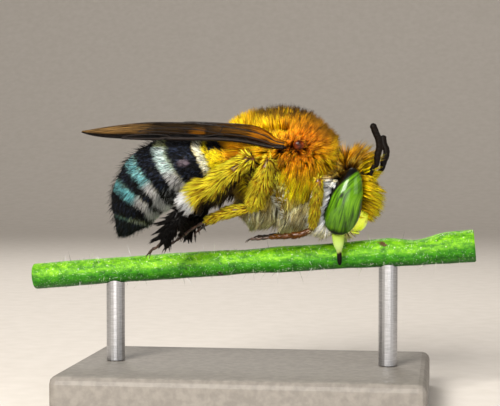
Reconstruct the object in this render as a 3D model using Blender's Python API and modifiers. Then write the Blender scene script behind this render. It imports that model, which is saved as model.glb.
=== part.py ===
"""A male blue-banded bee at rest, gripping a cut length of green stem on a small display stand.

Units are metres. +X is the way the bee faces, +Z is up, and -Y is its right side. The floor is z = 0.
The solids reach out to the tips of the coat, so the skin lies inside them by the coat's depth.
"""

import bmesh
import bpy
from math import cos, pi, radians, sin
from mathutils import Matrix, Vector

MM = 0.001
GAP = 0.04 * MM  # thin cut between neighbouring solids, small against a bee 12 mm long

# Stand and perch
BASE_SIZE = (16.0 * MM, 10.0 * MM, 1.6 * MM)
BASE_EDGE = 0.35 * MM
ROD_RADIUS = 0.42 * MM
ROD_X = (6.2 * MM, -6.2 * MM)
STEM_LENGTH = 20.0 * MM
STEM_RADIUS = 0.59 * MM
STEM_SWELL = 0.13 * MM  # the stem thickens towards the bud at its front end
STEM_HEIGHT = 6.2 * MM  # centre line at x = 0
STEM_RISE = 0.07  # slope of the centre line there
STEM_CURL = 100.0  # cubic steepening towards both ends, per square metre
CRADLE_DEPTH = 0.7  # how much of the stem's radius sinks into each rod's cupped top

# Head: its own frame, leaning forward at the top
HEAD_CENTRE = Vector((4.45, 0.0, 9.1)) * MM
HEAD_LEAN = radians(15.0)
NECK_BACK = 1.15 * MM  # the neck cut, behind the head's centre
EYE_CENTRE = Vector((0.0, 1.45, -0.13)) * MM
EYE_RADII = Vector((0.76, 0.64, 1.54)) * MM
EYE_LEAN = HEAD_LEAN + radians(1.5)
EYE_TAPER = 0.26  # how much slimmer each eye is at its top, and fuller at its bottom, than at its middle
CLYPEUS_CENTRE = Vector((0.42, 0.0, -0.80)) * MM
CLYPEUS_RADII = Vector((0.74, 0.92, 0.68)) * MM
CLYPEUS_LEAN = HEAD_LEAN + radians(14.0)
LABRUM_CENTRE = Vector((0.46, 0.0, -1.47)) * MM
LABRUM_RADII = Vector((0.46, 0.60, 0.15)) * MM

# Body
WAIST_X = -0.95 * MM  # the cut between thorax and abdomen
CHEST_TAPER = 0.22  # how much narrower the thorax is underneath than at its middle
CHEST_TAPER_TOP = 10.4 * MM
CHEST_TAPER_HEIGHT = 3.0 * MM
SEGMENTS = 6
SEGMENT_CUT = 0.004  # half the cut between two abdomen rings, as a share of the abdomen's length
SEGMENT_FLARE = 0.03  # how much fuller each ring is at its rear rim

# Wings, laid back over the abdomen like a low roof
WING_ROOT = Vector((2.00, -2.42, 11.36)) * MM
WING_TIP = Vector((-7.60, -1.45, 11.90)) * MM
WING_ROOF = radians(42.0)
WING_THICKNESS = 0.5 * MM
TEGULA_CENTRE = Vector((2.44, 2.34, 11.42)) * MM
TEGULA_RADII = Vector((0.32, 0.25, 0.32)) * MM
TEGULA_LEAN = radians(18.0)


# ---------------------------------------------------------------- scene and helpers


def clear_scene():
    for obj in list(bpy.data.objects):
        bpy.data.objects.remove(obj, do_unlink=True)


def new_collection(name):
    collection = bpy.data.collections.new(name)
    bpy.context.scene.collection.children.link(collection)
    return collection


def principled(name, colour, roughness, metallic=0.0):
    material = bpy.data.materials.new(name)
    material.use_nodes = True
    shader = material.node_tree.nodes["Principled BSDF"]
    shader.inputs["Base Color"].default_value = (*colour, 1.0)
    shader.inputs["Roughness"].default_value = roughness
    shader.inputs["Metallic"].default_value = metallic
    material.diffuse_color = (*colour, 1.0)
    return material


def object_from(name, mesh_builder, material, collection):
    """Closes a bmesh into a named object with outward normals and smooth shading."""
    bmesh.ops.recalc_face_normals(mesh_builder, faces=mesh_builder.faces)
    mesh = bpy.data.meshes.new(name)
    mesh_builder.to_mesh(mesh)
    mesh_builder.free()
    mesh.shade_smooth()
    mesh.set_sharp_from_angle(angle=radians(50.0))
    obj = bpy.data.objects.new(name, mesh)
    collection.objects.link(obj)
    if material:
        mesh.materials.append(material)
    return obj


def between(rows, t):
    """A point of a smooth curve through the rows (Catmull-Rom), t running from 0 to 1."""
    last = len(rows) - 1
    place = min(max(t, 0.0), 1.0) * last
    i = min(int(place), last - 1)
    f = place - i
    p0, p1, p2, p3 = (rows[min(max(k, 0), last)] for k in (i - 1, i, i + 1, i + 2))
    return tuple(
        0.5 * (2 * b + (c - a) * f + (2 * a - 5 * b + 4 * c - d) * f**2 + (3 * b - a - 3 * c + d) * f**3)
        for a, b, c, d in zip(p0, p1, p2, p3)
    )


def loft(rings):
    """A closed bmesh over rings of equal count. A ring of one point is a pole; other end rings get a cap."""
    builder = bmesh.new()
    loops = [[builder.verts.new(point) for point in ring] for ring in rings]
    for a, b in zip(loops, loops[1:]):
        count = max(len(a), len(b))
        for k in range(count):
            n = (k + 1) % count
            corners = [a[k % len(a)], a[n % len(a)], b[n % len(b)], b[k % len(b)]]
            builder.faces.new(list(dict.fromkeys(corners)))
    for end in (loops[0], loops[-1]):
        if len(end) > 1:
            builder.faces.new(end)
    return builder


def section(centre, side, upward, half_width, half_height, sides, fullness=1.0):
    """An oval ring. A fullness over 1 squares it off towards a box."""
    ring = []
    for k in range(sides):
        angle = 2 * pi * k / sides
        across = abs(cos(angle)) ** (1 / fullness) * (1 if cos(angle) >= 0 else -1)
        above = abs(sin(angle)) ** (1 / fullness) * (1 if sin(angle) >= 0 else -1)
        ring.append(centre + side * (across * half_width) + upward * (above * half_height))
    return ring


def ellipsoid(centre, radii, turn, columns, rows):
    """A bmesh ball with its own radii, turned by a matrix and moved to its centre."""
    builder = bmesh.new()
    bmesh.ops.create_uvsphere(builder, u_segments=columns, v_segments=rows, radius=1.0)
    place = Matrix.Translation(centre) @ turn.to_4x4() @ Matrix.Diagonal((*radii, 1.0))
    bmesh.ops.transform(builder, matrix=place, verts=builder.verts)
    return builder


def limb(name, points, radii, material, collection, flat=1.0, grow=0.0):
    """A leg or feeler joint: a curve bevelled to a radius at each point, as a welded mesh.

    Points and radii are in millimetres. A flat under 1 thins it across the body (Y).
    """
    rows = [(*point, radius) for point, radius in zip(points, radii)]
    steps = 2 * (len(rows) - 1)
    path = [between(rows, k / steps) for k in range(steps + 1)]
    curve = bpy.data.curves.new(name, "CURVE")
    curve.dimensions = "3D"
    curve.bevel_depth = MM
    curve.bevel_resolution = 2
    curve.use_fill_caps = True
    spline = curve.splines.new("POLY")
    spline.points.add(len(path) - 1)
    for point, (x, y, z, radius) in zip(spline.points, path):
        point.co = (x * MM, y * MM, z * MM, 1.0)
        point.radius = radius + grow / MM
    guide = bpy.data.objects.new(name + "_curve", curve)
    collection.objects.link(guide)
    graph = bpy.context.evaluated_depsgraph_get()
    mesh = bpy.data.meshes.new_from_object(guide.evaluated_get(graph))
    bpy.data.objects.remove(guide, do_unlink=True)
    builder = bmesh.new()
    builder.from_mesh(mesh)
    bpy.data.meshes.remove(mesh)
    bmesh.ops.remove_doubles(builder, verts=builder.verts, dist=0.00001 * MM)
    middle = sum((Vector(p) for p in points), Vector()) * (MM / len(points))
    for vert in builder.verts:
        vert.co.y = middle.y + (vert.co.y - middle.y) * flat
    return object_from(name, builder, material, collection)


def carve(obj, cutters, home):
    """Keeps its neighbours' room clear: each cutter is a neighbour grown by the gap."""
    group = bpy.data.collections.new("room_in_" + obj.name)
    home.children.link(group)
    for cutter in cutters:
        cutter.hide_render = True
        cutter.display_type = "WIRE"
        home.objects.unlink(cutter)
        group.objects.link(cutter)
    modifier = obj.modifiers.new("room", "BOOLEAN")
    modifier.operation = "DIFFERENCE"
    modifier.solver = "EXACT"
    modifier.operand_type = "COLLECTION"
    modifier.collection = group


def mirrored(point, side):
    """Side -1 is the bee's right (-Y), side 1 its left."""
    return (point[0], abs(point[1]) * side, point[2])


# ---------------------------------------------------------------- stand and perch


def stem_centre(x):
    """Height of the stem's centre line, steeper towards its ends."""
    return STEM_HEIGHT + STEM_RISE * x + STEM_CURL * x**3


def stem_radius(x):
    """The stem thickens smoothly over its front quarter."""
    front = min(max((x / (STEM_LENGTH / 2) - 0.35) / 0.65, 0.0), 1.0)
    return STEM_RADIUS + STEM_SWELL * front * front * (3 - 2 * front)


def stem(name, material, collection, grow=0.0, steps=16, sides=16):
    rings = []
    for k in range(steps + 1):
        x = -STEM_LENGTH / 2 + STEM_LENGTH * k / steps
        radius = stem_radius(x) + grow
        centre = Vector((x, 0.0, stem_centre(x)))
        rings.append(section(centre, Vector((0, 1, 0)), Vector((0, 0, 1)), radius, radius, sides))
    return object_from(name, loft(rings), material, collection)


def stand_base(material, collection):
    """A flat plate with rounded edges."""
    builder = bmesh.new()
    bmesh.ops.create_cube(builder, size=1.0)
    bmesh.ops.scale(builder, vec=BASE_SIZE, verts=builder.verts)
    bmesh.ops.translate(builder, vec=(0, 0, BASE_SIZE[2] / 2), verts=builder.verts)
    obj = object_from("stand_base", builder, material, collection)
    bevel = obj.modifiers.new("edge", "BEVEL")
    bevel.width = BASE_EDGE
    bevel.segments = 3


def stand_rod(name, x, material, collection, cutters):
    """An upright whose top is hollowed to cradle the stem."""
    foot = BASE_SIZE[2] + GAP
    top = stem_centre(x) - (1.0 - CRADLE_DEPTH) * STEM_RADIUS
    builder = bmesh.new()
    bmesh.ops.create_cone(
        builder, cap_ends=True, segments=20, radius1=ROD_RADIUS, radius2=ROD_RADIUS, depth=top - foot
    )
    bmesh.ops.translate(builder, vec=(x, 0, (foot + top) / 2), verts=builder.verts)
    rod = object_from(name, builder, material, collection)
    carve(rod, [stem("stem_room_" + name, None, cutters, grow=GAP)], cutters)


# ---------------------------------------------------------------- head


def head_point(forward, across, upward):
    """A place in the head's own leaning frame, turned into the body's."""
    ahead = Vector((cos(HEAD_LEAN), 0, -sin(HEAD_LEAN)))
    above = Vector((sin(HEAD_LEAN), 0, cos(HEAD_LEAN)))
    return HEAD_CENTRE + ahead * forward + Vector((0, across, 0)) + above * upward


def head(material, collection):
    """The head with its face and crown hair, lofted from mouth to crown and cut flat at the neck."""
    # upward, back, front, half width: all in the head's frame
    levels = [
        (-1.62, -1.05, 0.50, 0.85),
        (-1.40, -1.15, 0.80, 1.25),
        (-0.95, -1.20, 1.06, 1.55),
        (-0.40, -1.20, 1.30, 1.66),
        (0.20, -1.20, 1.46, 1.68),
        (0.60, -1.20, 1.36, 1.66),
        (1.10, -1.20, 0.96, 1.62),
        (1.70, -1.18, 0.72, 1.45),
        (2.15, -1.10, 0.46, 1.10),
        (2.42, -0.85, 0.10, 0.60),
    ]
    ahead = head_point(1, 0, 0) - head_point(0, 0, 0)
    rings = []
    for upward, back, front, half_width in levels:
        centre = head_point((back + front) / 2 * MM, 0, upward * MM)
        half_depth = (front - back) / 2 * MM
        rings.append(section(centre, Vector((0, 1, 0)), ahead, half_width * MM, half_depth, 22))
    builder = loft(rings)
    cut = head_point(-NECK_BACK + GAP / 2, 0, 0)
    halve(builder, cut, -ahead)
    return object_from("head", builder, material, collection)


def halve(builder, point, away):
    """Cuts a solid flat at a plane, dropping the side that the arrow points to."""
    every = builder.verts[:] + builder.edges[:] + builder.faces[:]
    cut = bmesh.ops.bisect_plane(
        builder, geom=every, dist=1e-9, plane_co=point, plane_no=away, clear_outer=True
    )
    rim = [part for part in cut["geom_cut"] if isinstance(part, bmesh.types.BMEdge)]
    if rim:
        bmesh.ops.contextual_create(builder, geom=rim)


def eye(name, side, material, collection, grow=0.0):
    centre = head_point(EYE_CENTRE.x, EYE_CENTRE.y * side, EYE_CENTRE.z)
    radii = EYE_RADII + Vector((grow, grow, grow))
    turn = Matrix.Rotation(EYE_LEAN, 3, "Y")
    builder = ellipsoid(Vector(), radii, Matrix.Identity(3), 14, 12)
    for vert in builder.verts:
        vert.co.x *= 1.0 - EYE_TAPER * vert.co.z / EYE_RADII.z
        vert.co = centre + turn @ vert.co
    return object_from(name, builder, material, collection)


def clypeus(name, material, collection, grow=0.0):
    """The domed shield of the face, over the mouth."""
    radii = CLYPEUS_RADII + Vector((grow, grow, grow))
    turn = Matrix.Rotation(CLYPEUS_LEAN, 3, "Y")
    return object_from(name, ellipsoid(head_point(*CLYPEUS_CENTRE), radii, turn, 12, 8), material, collection)


def labrum(name, material, collection, grow=0.0):
    """The lip, a low flap under the clypeus."""
    radii = LABRUM_RADII + Vector((grow, grow, grow))
    turn = Matrix.Rotation(HEAD_LEAN, 3, "Y")
    return object_from(name, ellipsoid(head_point(*LABRUM_CENTRE), radii, turn, 12, 8), material, collection)


# jaw and feeler joints from root to tip: x, y, z and the radius at each point, in millimetres
MANDIBLE_PATH = [
    (4.06, 1.22, 7.52),
    (4.06, 1.16, 7.25),
    (4.09, 1.02, 6.85),
    (4.11, 0.93, 6.40),
    (4.12, 0.86, 6.06),
]
MANDIBLE_RADII = [0.16, 0.29, 0.27, 0.25, 0.12]
# the left feeler is held a little lower and further forward than the right
SCAPE_PATHS = {
    "right": [(5.12, 0.36, 9.55), (5.27, 0.44, 9.84), (5.43, 0.52, 10.20), (5.57, 0.58, 10.47)],
    "left": [(5.12, 0.36, 9.55), (5.38, 0.50, 9.80), (5.62, 0.62, 10.05), (5.78, 0.70, 10.26)],
}
SCAPE_RADII = [0.14, 0.25, 0.25, 0.18]
FLAGELLUM_PATHS = {
    "right": [
        (5.66, 0.60, 10.63),
        (5.80, 0.68, 11.00),
        (5.83, 0.76, 11.45),
        (5.72, 0.86, 11.92),
        (5.52, 0.95, 12.30),
    ],
    "left": [
        (5.87, 0.75, 10.42),
        (5.99, 0.86, 10.74),
        (6.07, 0.98, 11.12),
        (6.00, 1.10, 11.48),
        (5.85, 1.20, 11.80),
    ],
}
FLAGELLUM_RADII = [0.18, 0.25, 0.25, 0.25, 0.16]


# ---------------------------------------------------------------- thorax and wings


def thorax(material, collection):
    """The furry middle of the body, lofted from waist to neck."""
    # x, top, bottom, half width, in millimetres
    stations = [
        (-1.06, 11.55, 9.95, 0.75),
        (-0.85, 12.35, 9.10, 1.45),
        (-0.45, 12.90, 8.22, 2.00),
        (0.30, 13.13, 7.76, 2.42),
        (1.20, 13.20, 7.55, 2.60),
        (2.10, 13.12, 7.48, 2.58),
        (2.90, 12.88, 7.40, 2.38),
        (3.50, 12.44, 7.42, 2.05),
        (3.95, 11.85, 7.60, 1.60),
        (4.20, 11.20, 8.20, 1.00),
    ]
    rings = []
    for x, top, bottom, half_width in stations:
        centre = Vector((x, 0, (top + bottom) / 2)) * MM
        wide = half_width * MM
        tall = (top - bottom) / 2 * MM
        rings.append(section(centre, Vector((0, 1, 0)), Vector((0, 0, 1)), wide, tall, 24))
    builder = loft(rings)
    for vert in builder.verts:
        narrowing = min(max((CHEST_TAPER_TOP - vert.co.z) / CHEST_TAPER_HEIGHT, 0.0), 1.0)
        vert.co.y *= 1.0 - CHEST_TAPER * narrowing
    ahead = head_point(1, 0, 0) - head_point(0, 0, 0)
    halve(builder, head_point(-NECK_BACK - GAP / 2, 0, 0), ahead)
    halve(builder, Vector((WAIST_X + GAP / 2, 0, 0)), Vector((-1, 0, 0)))
    return object_from("thorax", builder, material, collection)


def tegula(name, side, material, collection, grow=0.0):
    """The shiny scale over the wing's root."""
    centre = Vector(mirrored(TEGULA_CENTRE, side))
    radii = TEGULA_RADII + Vector((grow, grow, grow))
    turn = Matrix.Rotation(TEGULA_LEAN * -side, 3, "X")
    return object_from(name, ellipsoid(centre, radii, turn, 12, 8), material, collection)


def wing(name, side, outline, material, collection, grow=0.0):
    """A thick flat blade. The outline runs along the wing (s) and across it (c), in millimetres."""
    root = Vector(mirrored(WING_ROOT, side))
    tip = Vector(mirrored(WING_TIP, side))
    along = (tip - root).normalized()
    inward = Vector((0, -side * cos(WING_ROOF), sin(WING_ROOF)))
    inward = (inward - along * inward.dot(along)).normalized()
    up = along.cross(inward) * side
    builder = bmesh.new()
    half = up * (WING_THICKNESS / 2 + grow)
    faces = []
    for sheet in (-half, half):
        corners = [root + along * (s * MM) + inward * (c * MM) + sheet for s, c in outline]
        faces.append(builder.faces.new([builder.verts.new(corner) for corner in corners]))
    lower, upper = (list(face.verts) for face in faces)
    count = len(lower)
    for k in range(count):
        n = (k + 1) % count
        builder.faces.new((lower[k], lower[n], upper[n], upper[k]))
    return object_from(name, builder, material, collection)


def rounded(points, steps):
    """A closed outline made smooth through its points."""
    ring = points + points[:3]
    span = len(points)
    places = [(1 + span * k / steps) / (len(ring) - 1) for k in range(steps)]
    return [between(ring, place) for place in places]


FOREWING = [
    (0.0, 0.05), (1.2, -0.05), (3.2, 0.02), (5.5, 0.02), (7.6, 0.0), (8.9, 0.06), (9.5, 0.22),
    (9.0, 0.48), (7.9, 0.76), (6.5, 0.98), (5.0, 1.05), (2.4, 1.03), (1.0, 0.78), (0.1, 0.42),
]
HINDWING = [
    (1.8, 1.10), (2.8, 1.14), (4.2, 1.15), (5.4, 1.12), (6.2, 1.09), (6.5, 1.13),
    (5.6, 1.24), (4.6, 1.32), (3.2, 1.33), (2.1, 1.26),
]


# ---------------------------------------------------------------- abdomen


# x, z, half width, half height along the curled centre line, in millimetres
ABDOMEN_LINE = [
    (-0.99, 10.70, 1.25, 0.95),
    (-1.95, 10.66, 1.95, 1.20),
    (-3.10, 10.56, 2.10, 1.30),
    (-4.04, 10.25, 2.08, 1.42),
    (-4.72, 9.72, 1.92, 1.38),
    (-5.22, 9.03, 1.62, 1.18),
    (-5.50, 8.22, 1.16, 0.90),
    (-5.86, 7.46, 0.42, 0.34),
]


def abdomen_ring(t, swell):
    x, z, half_width, half_height = between(ABDOMEN_LINE, t)
    ahead = Vector(between(ABDOMEN_LINE, t + 0.02)[:2]) - Vector(between(ABDOMEN_LINE, t - 0.02)[:2])
    ahead.normalize()
    outward = Vector((-ahead.y, 0, ahead.x)) * -1
    centre = Vector((x, 0, z)) * MM
    return section(centre, Vector((0, 1, 0)), outward, half_width * swell * MM, half_height * swell * MM, 20)


def abdomen_segment(index, material, collection):
    """One ring of the abdomen, slightly fuller towards its rear rim, as each plate overlaps the next."""
    length = 1.0 / SEGMENTS
    start = index * length + (SEGMENT_CUT if index else 0.0)
    end = (index + 1) * length - (SEGMENT_CUT if index < SEGMENTS - 1 else 0.0)
    rings = []
    for k in range(4):
        share = k / 3
        rings.append(abdomen_ring(start + (end - start) * share, 1.0 - SEGMENT_FLARE * (1.0 - share)))
    return object_from(f"abdomen_{index + 1}", loft(rings), material, collection)


# ---------------------------------------------------------------- legs


# Joints from hip to claw, right side: x, y, z and radius (coat included) at each point, in millimetres
LEGS = {
    "fore": {
        "femur": [
            (3.12, 1.05, 8.45, 0.20),
            (3.17, 1.50, 8.85, 0.27),
            (3.22, 1.86, 9.30, 0.20),
        ],
        "tibia": [
            (3.29, 2.20, 9.86, 0.16),
            (3.25, 2.22, 9.40, 0.27),
            (3.14, 2.00, 8.70, 0.27),
            (3.00, 1.70, 8.02, 0.20),
        ],
        "basitarsus": [
            (2.86, 1.58, 7.72, 0.20),
            (2.46, 1.50, 7.53, 0.26),
            (1.80, 1.40, 7.44, 0.25),
            (1.17, 1.32, 7.38, 0.20),
        ],
        "tarsus": [
            (1.05, 1.28, 7.37, 0.18),
            (0.77, 1.22, 7.32, 0.25),
            (0.46, 1.16, 7.25, 0.25),
            (0.17, 1.08, 7.30, 0.20),
        ],
    },
    "mid": {
        "femur": [
            (1.74, 1.35, 8.55, 0.25),
            (1.57, 1.95, 9.20, 0.34),
            (1.35, 2.38, 10.05, 0.26),
        ],
        "tibia": [
            (1.17, 2.66, 10.68, 0.18),
            (0.98, 2.78, 10.08, 0.38),
            (0.74, 2.74, 9.42, 0.52),
            (0.54, 2.60, 8.94, 0.40),
        ],
        "basitarsus": [
            (0.34, 2.46, 8.68, 0.22),
            (-0.26, 2.38, 8.60, 0.30),
            (-0.90, 2.24, 8.40, 0.30),
            (-1.50, 2.10, 8.17, 0.22),
        ],
        "tarsus": [
            (-1.64, 2.06, 8.11, 0.18),
            (-1.99, 1.95, 7.93, 0.25),
            (-2.38, 1.85, 7.70, 0.25),
            (-2.70, 1.75, 7.44, 0.18),
        ],
    },
    "hind": {
        "femur": [
            (0.75, 1.40, 8.75, 0.25),
            (0.62, 1.90, 9.30, 0.36),
            (0.37, 2.30, 10.10, 0.28),
        ],
        "tibia": [
            (0.20, 2.55, 10.78, 0.20),
            (-0.26, 2.68, 10.38, 0.46),
            (-1.13, 2.74, 9.68, 0.64),
            (-1.88, 2.74, 9.24, 0.69),
            (-2.42, 2.70, 9.04, 0.46),
        ],
        "basitarsus": [
            (-2.70, 2.66, 8.46, 0.34),
            (-2.92, 2.62, 8.14, 0.54),
            (-3.24, 2.55, 7.66, 0.52),
            (-3.45, 2.48, 7.28, 0.30),
        ],
        "tarsus": [
            (-3.56, 2.42, 7.16, 0.18),
            (-3.80, 2.28, 7.00, 0.25),
            (-4.01, 2.05, 6.81, 0.25),
            (-4.25, 1.85, 6.65, 0.18),
        ],
    },
}
JOINT_FLATNESS = {"femur": 1.0, "tibia": 0.8, "basitarsus": 0.72, "tarsus": 1.0}


def side_path(points, side):
    return [mirrored(point, side) for point in points]


def leg_joint(leg, joint, side, name, material, collection, grow=0.0):
    rows = LEGS[leg][joint]
    path = side_path([row[:3] for row in rows], side)
    radii = [row[3] for row in rows]
    return limb(name, path, radii, material, collection, JOINT_FLATNESS[joint], grow)


# ---------------------------------------------------------------- assembly


def main():
    clear_scene()
    bee = new_collection("blue_banded_bee")
    cutters = new_collection("cutters")

    golden_coat = principled("golden coat", (0.62, 0.36, 0.03), 0.85)
    face_coat = principled("yellow face coat", (0.66, 0.46, 0.04), 0.85)
    banded_coat = principled("banded abdomen", (0.20, 0.40, 0.42), 0.6)
    leg_coat = principled("golden leg coat", (0.55, 0.38, 0.05), 0.8)
    dark_coat = principled("black foot coat", (0.03, 0.02, 0.015), 0.7)
    foot_horn = principled("brown foot horn", (0.16, 0.05, 0.015), 0.4)
    eye_green = principled("green eye", (0.22, 0.42, 0.03), 0.15)
    feeler_black = principled("black feeler", (0.02, 0.012, 0.008), 0.45)
    face_yellow = principled("yellow face plate", (0.55, 0.60, 0.03), 0.35)
    jaw_pale = principled("pale jaw", (0.66, 0.76, 0.32), 0.3)
    scale_amber = principled("amber wing scale", (0.30, 0.12, 0.02), 0.25)
    wing_smoke = principled("smoky wing", (0.16, 0.09, 0.03), 0.3)
    stem_green = principled("green stem", (0.10, 0.42, 0.01), 0.55)
    stand_paint = principled("matt stand paint", (0.55, 0.53, 0.50), 0.6)
    rod_steel = principled("steel rod", (0.55, 0.55, 0.56), 0.3, 1.0)

    stem("perch_stem", stem_green, bee)
    stand_base(stand_paint, bee)
    for name, x in zip(("stand_rod_front", "stand_rod_back"), ROD_X):
        stand_rod(name, x, rod_steel, bee, cutters)

    head_solid = head(face_coat, bee)
    thorax_solid = thorax(golden_coat, bee)
    clypeus_solid = clypeus("clypeus", face_yellow, bee)
    labrum("labrum", face_yellow, bee)
    carve(clypeus_solid, [labrum("lip_room", None, cutters, GAP)], cutters)
    head_rooms = [clypeus("clypeus_room", None, cutters, GAP), labrum("labrum_room", None, cutters, GAP)]
    thorax_rooms = []
    for index in range(SEGMENTS):
        abdomen_segment(index, banded_coat, bee)

    for side, hand in ((-1, "right"), (1, "left")):
        eye("eye_" + hand, side, eye_green, bee)
        head_rooms.append(eye("eye_room_" + hand, side, None, cutters, GAP))
        for part, path, radii, material in (
            ("mandible", MANDIBLE_PATH, MANDIBLE_RADII, jaw_pale),
            ("antenna_scape", SCAPE_PATHS[hand], SCAPE_RADII, feeler_black),
            ("antenna_flagellum", FLAGELLUM_PATHS[hand], FLAGELLUM_RADII, feeler_black),
        ):
            route = side_path(path, side)
            limb(f"{part}_{hand}", route, radii, material, bee)
            head_rooms.append(limb(f"{part}_room_{hand}", route, radii, None, cutters, grow=GAP))
        tegula("tegula_" + hand, side, scale_amber, bee)
        thorax_rooms.append(tegula("tegula_room_" + hand, side, None, cutters, GAP))
        for part, outline in (("forewing", rounded(FOREWING, 30)), ("hindwing", rounded(HINDWING, 24))):
            wing(f"{part}_{hand}", side, outline, wing_smoke, bee)
            thorax_rooms.append(wing(f"{part}_room_{hand}", side, outline, None, cutters, GAP))
        for leg in LEGS:
            for joint in LEGS[leg]:
                material = leg_coat
                if joint == "tarsus":
                    material = foot_horn
                if (leg, joint) == ("hind", "basitarsus"):
                    material = dark_coat
                name = f"{leg}leg_{joint}_{hand}"
                leg_joint(leg, joint, side, name, material, bee)
                if joint in ("femur", "tibia"):
                    thorax_rooms.append(leg_joint(leg, joint, side, name + "_room", None, cutters, GAP))
    carve(head_solid, head_rooms, cutters)
    carve(thorax_solid, thorax_rooms, cutters)


main()
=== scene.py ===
"""Looks of a male blue-banded bee biting a cut green stem, on a small display stand.

The solids are loaded first and every piece sits in their frame, in metres. Small pieces are shaped
on a bench where one unit is a millimetre, and brought to metres when they are done.
"""

from math import cos, pi, radians, sin

import bpy
import numpy as np
from mathutils import Matrix, Vector
from mathutils.kdtree import KDTree


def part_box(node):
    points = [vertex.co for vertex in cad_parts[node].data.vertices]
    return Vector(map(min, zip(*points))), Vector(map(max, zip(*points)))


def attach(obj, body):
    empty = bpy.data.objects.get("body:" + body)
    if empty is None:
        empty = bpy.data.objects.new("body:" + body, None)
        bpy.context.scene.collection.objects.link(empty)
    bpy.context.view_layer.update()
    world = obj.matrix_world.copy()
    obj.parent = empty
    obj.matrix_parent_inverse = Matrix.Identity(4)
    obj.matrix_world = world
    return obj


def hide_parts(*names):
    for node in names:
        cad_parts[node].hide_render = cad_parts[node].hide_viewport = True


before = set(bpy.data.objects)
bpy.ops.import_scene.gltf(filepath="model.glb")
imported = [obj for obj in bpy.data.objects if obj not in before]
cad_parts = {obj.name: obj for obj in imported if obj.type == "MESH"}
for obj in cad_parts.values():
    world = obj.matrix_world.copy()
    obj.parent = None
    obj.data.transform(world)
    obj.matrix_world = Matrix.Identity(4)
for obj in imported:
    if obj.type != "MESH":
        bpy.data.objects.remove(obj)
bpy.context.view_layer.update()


# ------------------------------------------------------------------ floor, light and camera
# A pale matt sheet runs under the stand and curves up behind it. One big soft lamp hangs above and
# in front of the bee's right side, two fill its face and its underside, and one rims it from behind.


def alone(*objects):
    """Deselects all, then selects these, the first one active."""
    for other in bpy.context.selected_objects:
        other.select_set(False)
    for obj in objects:
        obj.select_set(True)
    bpy.context.view_layer.objects.active = objects[0]


def linear(hex_colour):
    """An sRGB hex colour as linear red, green, blue and one."""
    shares = [int(hex_colour[i : i + 2], 16) / 255 for i in (1, 3, 5)]
    return (*(c / 12.92 if c <= 0.04045 else ((c + 0.055) / 1.055) ** 2.4 for c in shares), 1.0)


def new_material(name, roughness, **sockets):
    """A Principled material with values set on its own sockets; returns it, its tree and its shader."""
    material = bpy.data.materials.new(name)
    material.use_nodes = True
    tree = material.node_tree
    shader = tree.nodes["Principled BSDF"]
    shader.inputs["Roughness"].default_value = roughness
    for socket, value in sockets.items():
        shader.inputs[socket.replace("_", " ")].default_value = value
    return material, tree, shader


def node(tree, kind, settings=None, stops=(), feeds=None, **inputs):
    """Adds one shader node: its settings, ramp stops as (place, hex colour) and the socket it feeds.

    An input is given a value, a socket to take it from, or a node whose first output it takes.
    """
    made = tree.nodes.new("ShaderNode" + kind)
    for key, value in (settings or {}).items():
        setattr(made, key, value)
    for name, value in inputs.items():
        socket = made.inputs[name.replace("_", " ")]
        if isinstance(value, bpy.types.Node):
            value = value.outputs[0]
        if isinstance(value, bpy.types.NodeSocket):
            tree.links.new(value, socket)
        else:
            socket.default_value = value
    for number, (place, hex_colour) in enumerate(stops):
        band = made.color_ramp.elements
        stop = band[number] if number < len(band) else band.new(place)
        stop.position = place
        stop.color = linear(hex_colour)
    if feeds:
        tree.links.new(made.outputs[0], feeds)
    return made


def mottled(name, roughness, scale, detail, stops, relief=None, stretch=None, **sockets):
    """A finish in soft patches of a few tints, which stand up as a relief of some strength and height."""
    material, tree, shader = new_material(name, roughness, **sockets)
    place = node(tree, "TexCoord").outputs["Object"]
    if stretch:
        place = node(tree, "Mapping", Vector=place, Scale=stretch)
    patches = node(tree, "TexNoise", Vector=place, Scale=scale, Detail=detail)
    node(tree, "ValToRGB", Fac=patches, stops=stops, feeds=shader.inputs["Base Color"])
    if relief:
        node(tree, "Bump", Height=patches, Strength=relief[0], Distance=relief[1],
             feeds=shader.inputs["Normal"])
    return material


# matt paper: faint fibre mottling in an even pale warm grey
paper = mottled("matt_backdrop_paper", 0.9, 900.0, 4.0, [(0.3, "#d8d1c8"), (0.7, "#dfd8d0")])

FLOOR_WIDTH = 0.6
FLOOR_SHIFT = -0.05
WALL_HEIGHT = 0.4
bpy.ops.mesh.primitive_plane_add(size=FLOOR_WIDTH, location=(0.0, FLOOR_SHIFT, 0.0))
floor = bpy.context.object
floor.name = "backdrop"
alone(floor)
bpy.ops.object.transform_apply(location=True, rotation=True, scale=True)
bpy.ops.object.mode_set(mode="EDIT")
bpy.ops.mesh.select_all(action="DESELECT")
bpy.ops.mesh.select_mode(type="EDGE")
bpy.ops.object.mode_set(mode="OBJECT")
for edge in floor.data.edges:
    edge.select = all(floor.data.vertices[i].co.y > 0.2 for i in edge.vertices)
bpy.ops.object.mode_set(mode="EDIT")
bpy.ops.mesh.extrude_region_move(TRANSFORM_OT_translate={"value": (0.0, 0.0, WALL_HEIGHT)})
bpy.ops.object.mode_set(mode="OBJECT")
curve = floor.modifiers.new("sweep", "BEVEL")
curve.width = 0.12
curve.segments = 16
bpy.ops.object.modifier_apply(modifier="sweep")
bpy.ops.object.shade_smooth()
floor.data.materials.append(paper)


LAMP_AIM = Vector((0.0, 0.0, 0.0088))


def soft_lamp(name, away, width, power, colour):
    """A square lamp aimed at the bee, set off from it by away."""
    data = bpy.data.lights.new(name, "AREA")
    data.size = width
    data.energy = power
    data.color = colour
    lamp = bpy.data.objects.new(name, data)
    lamp.location = LAMP_AIM + Vector(away)
    lamp.rotation_euler = (-Vector(away)).to_track_quat("-Z", "Y").to_euler()
    bpy.context.collection.objects.link(lamp)


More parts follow.
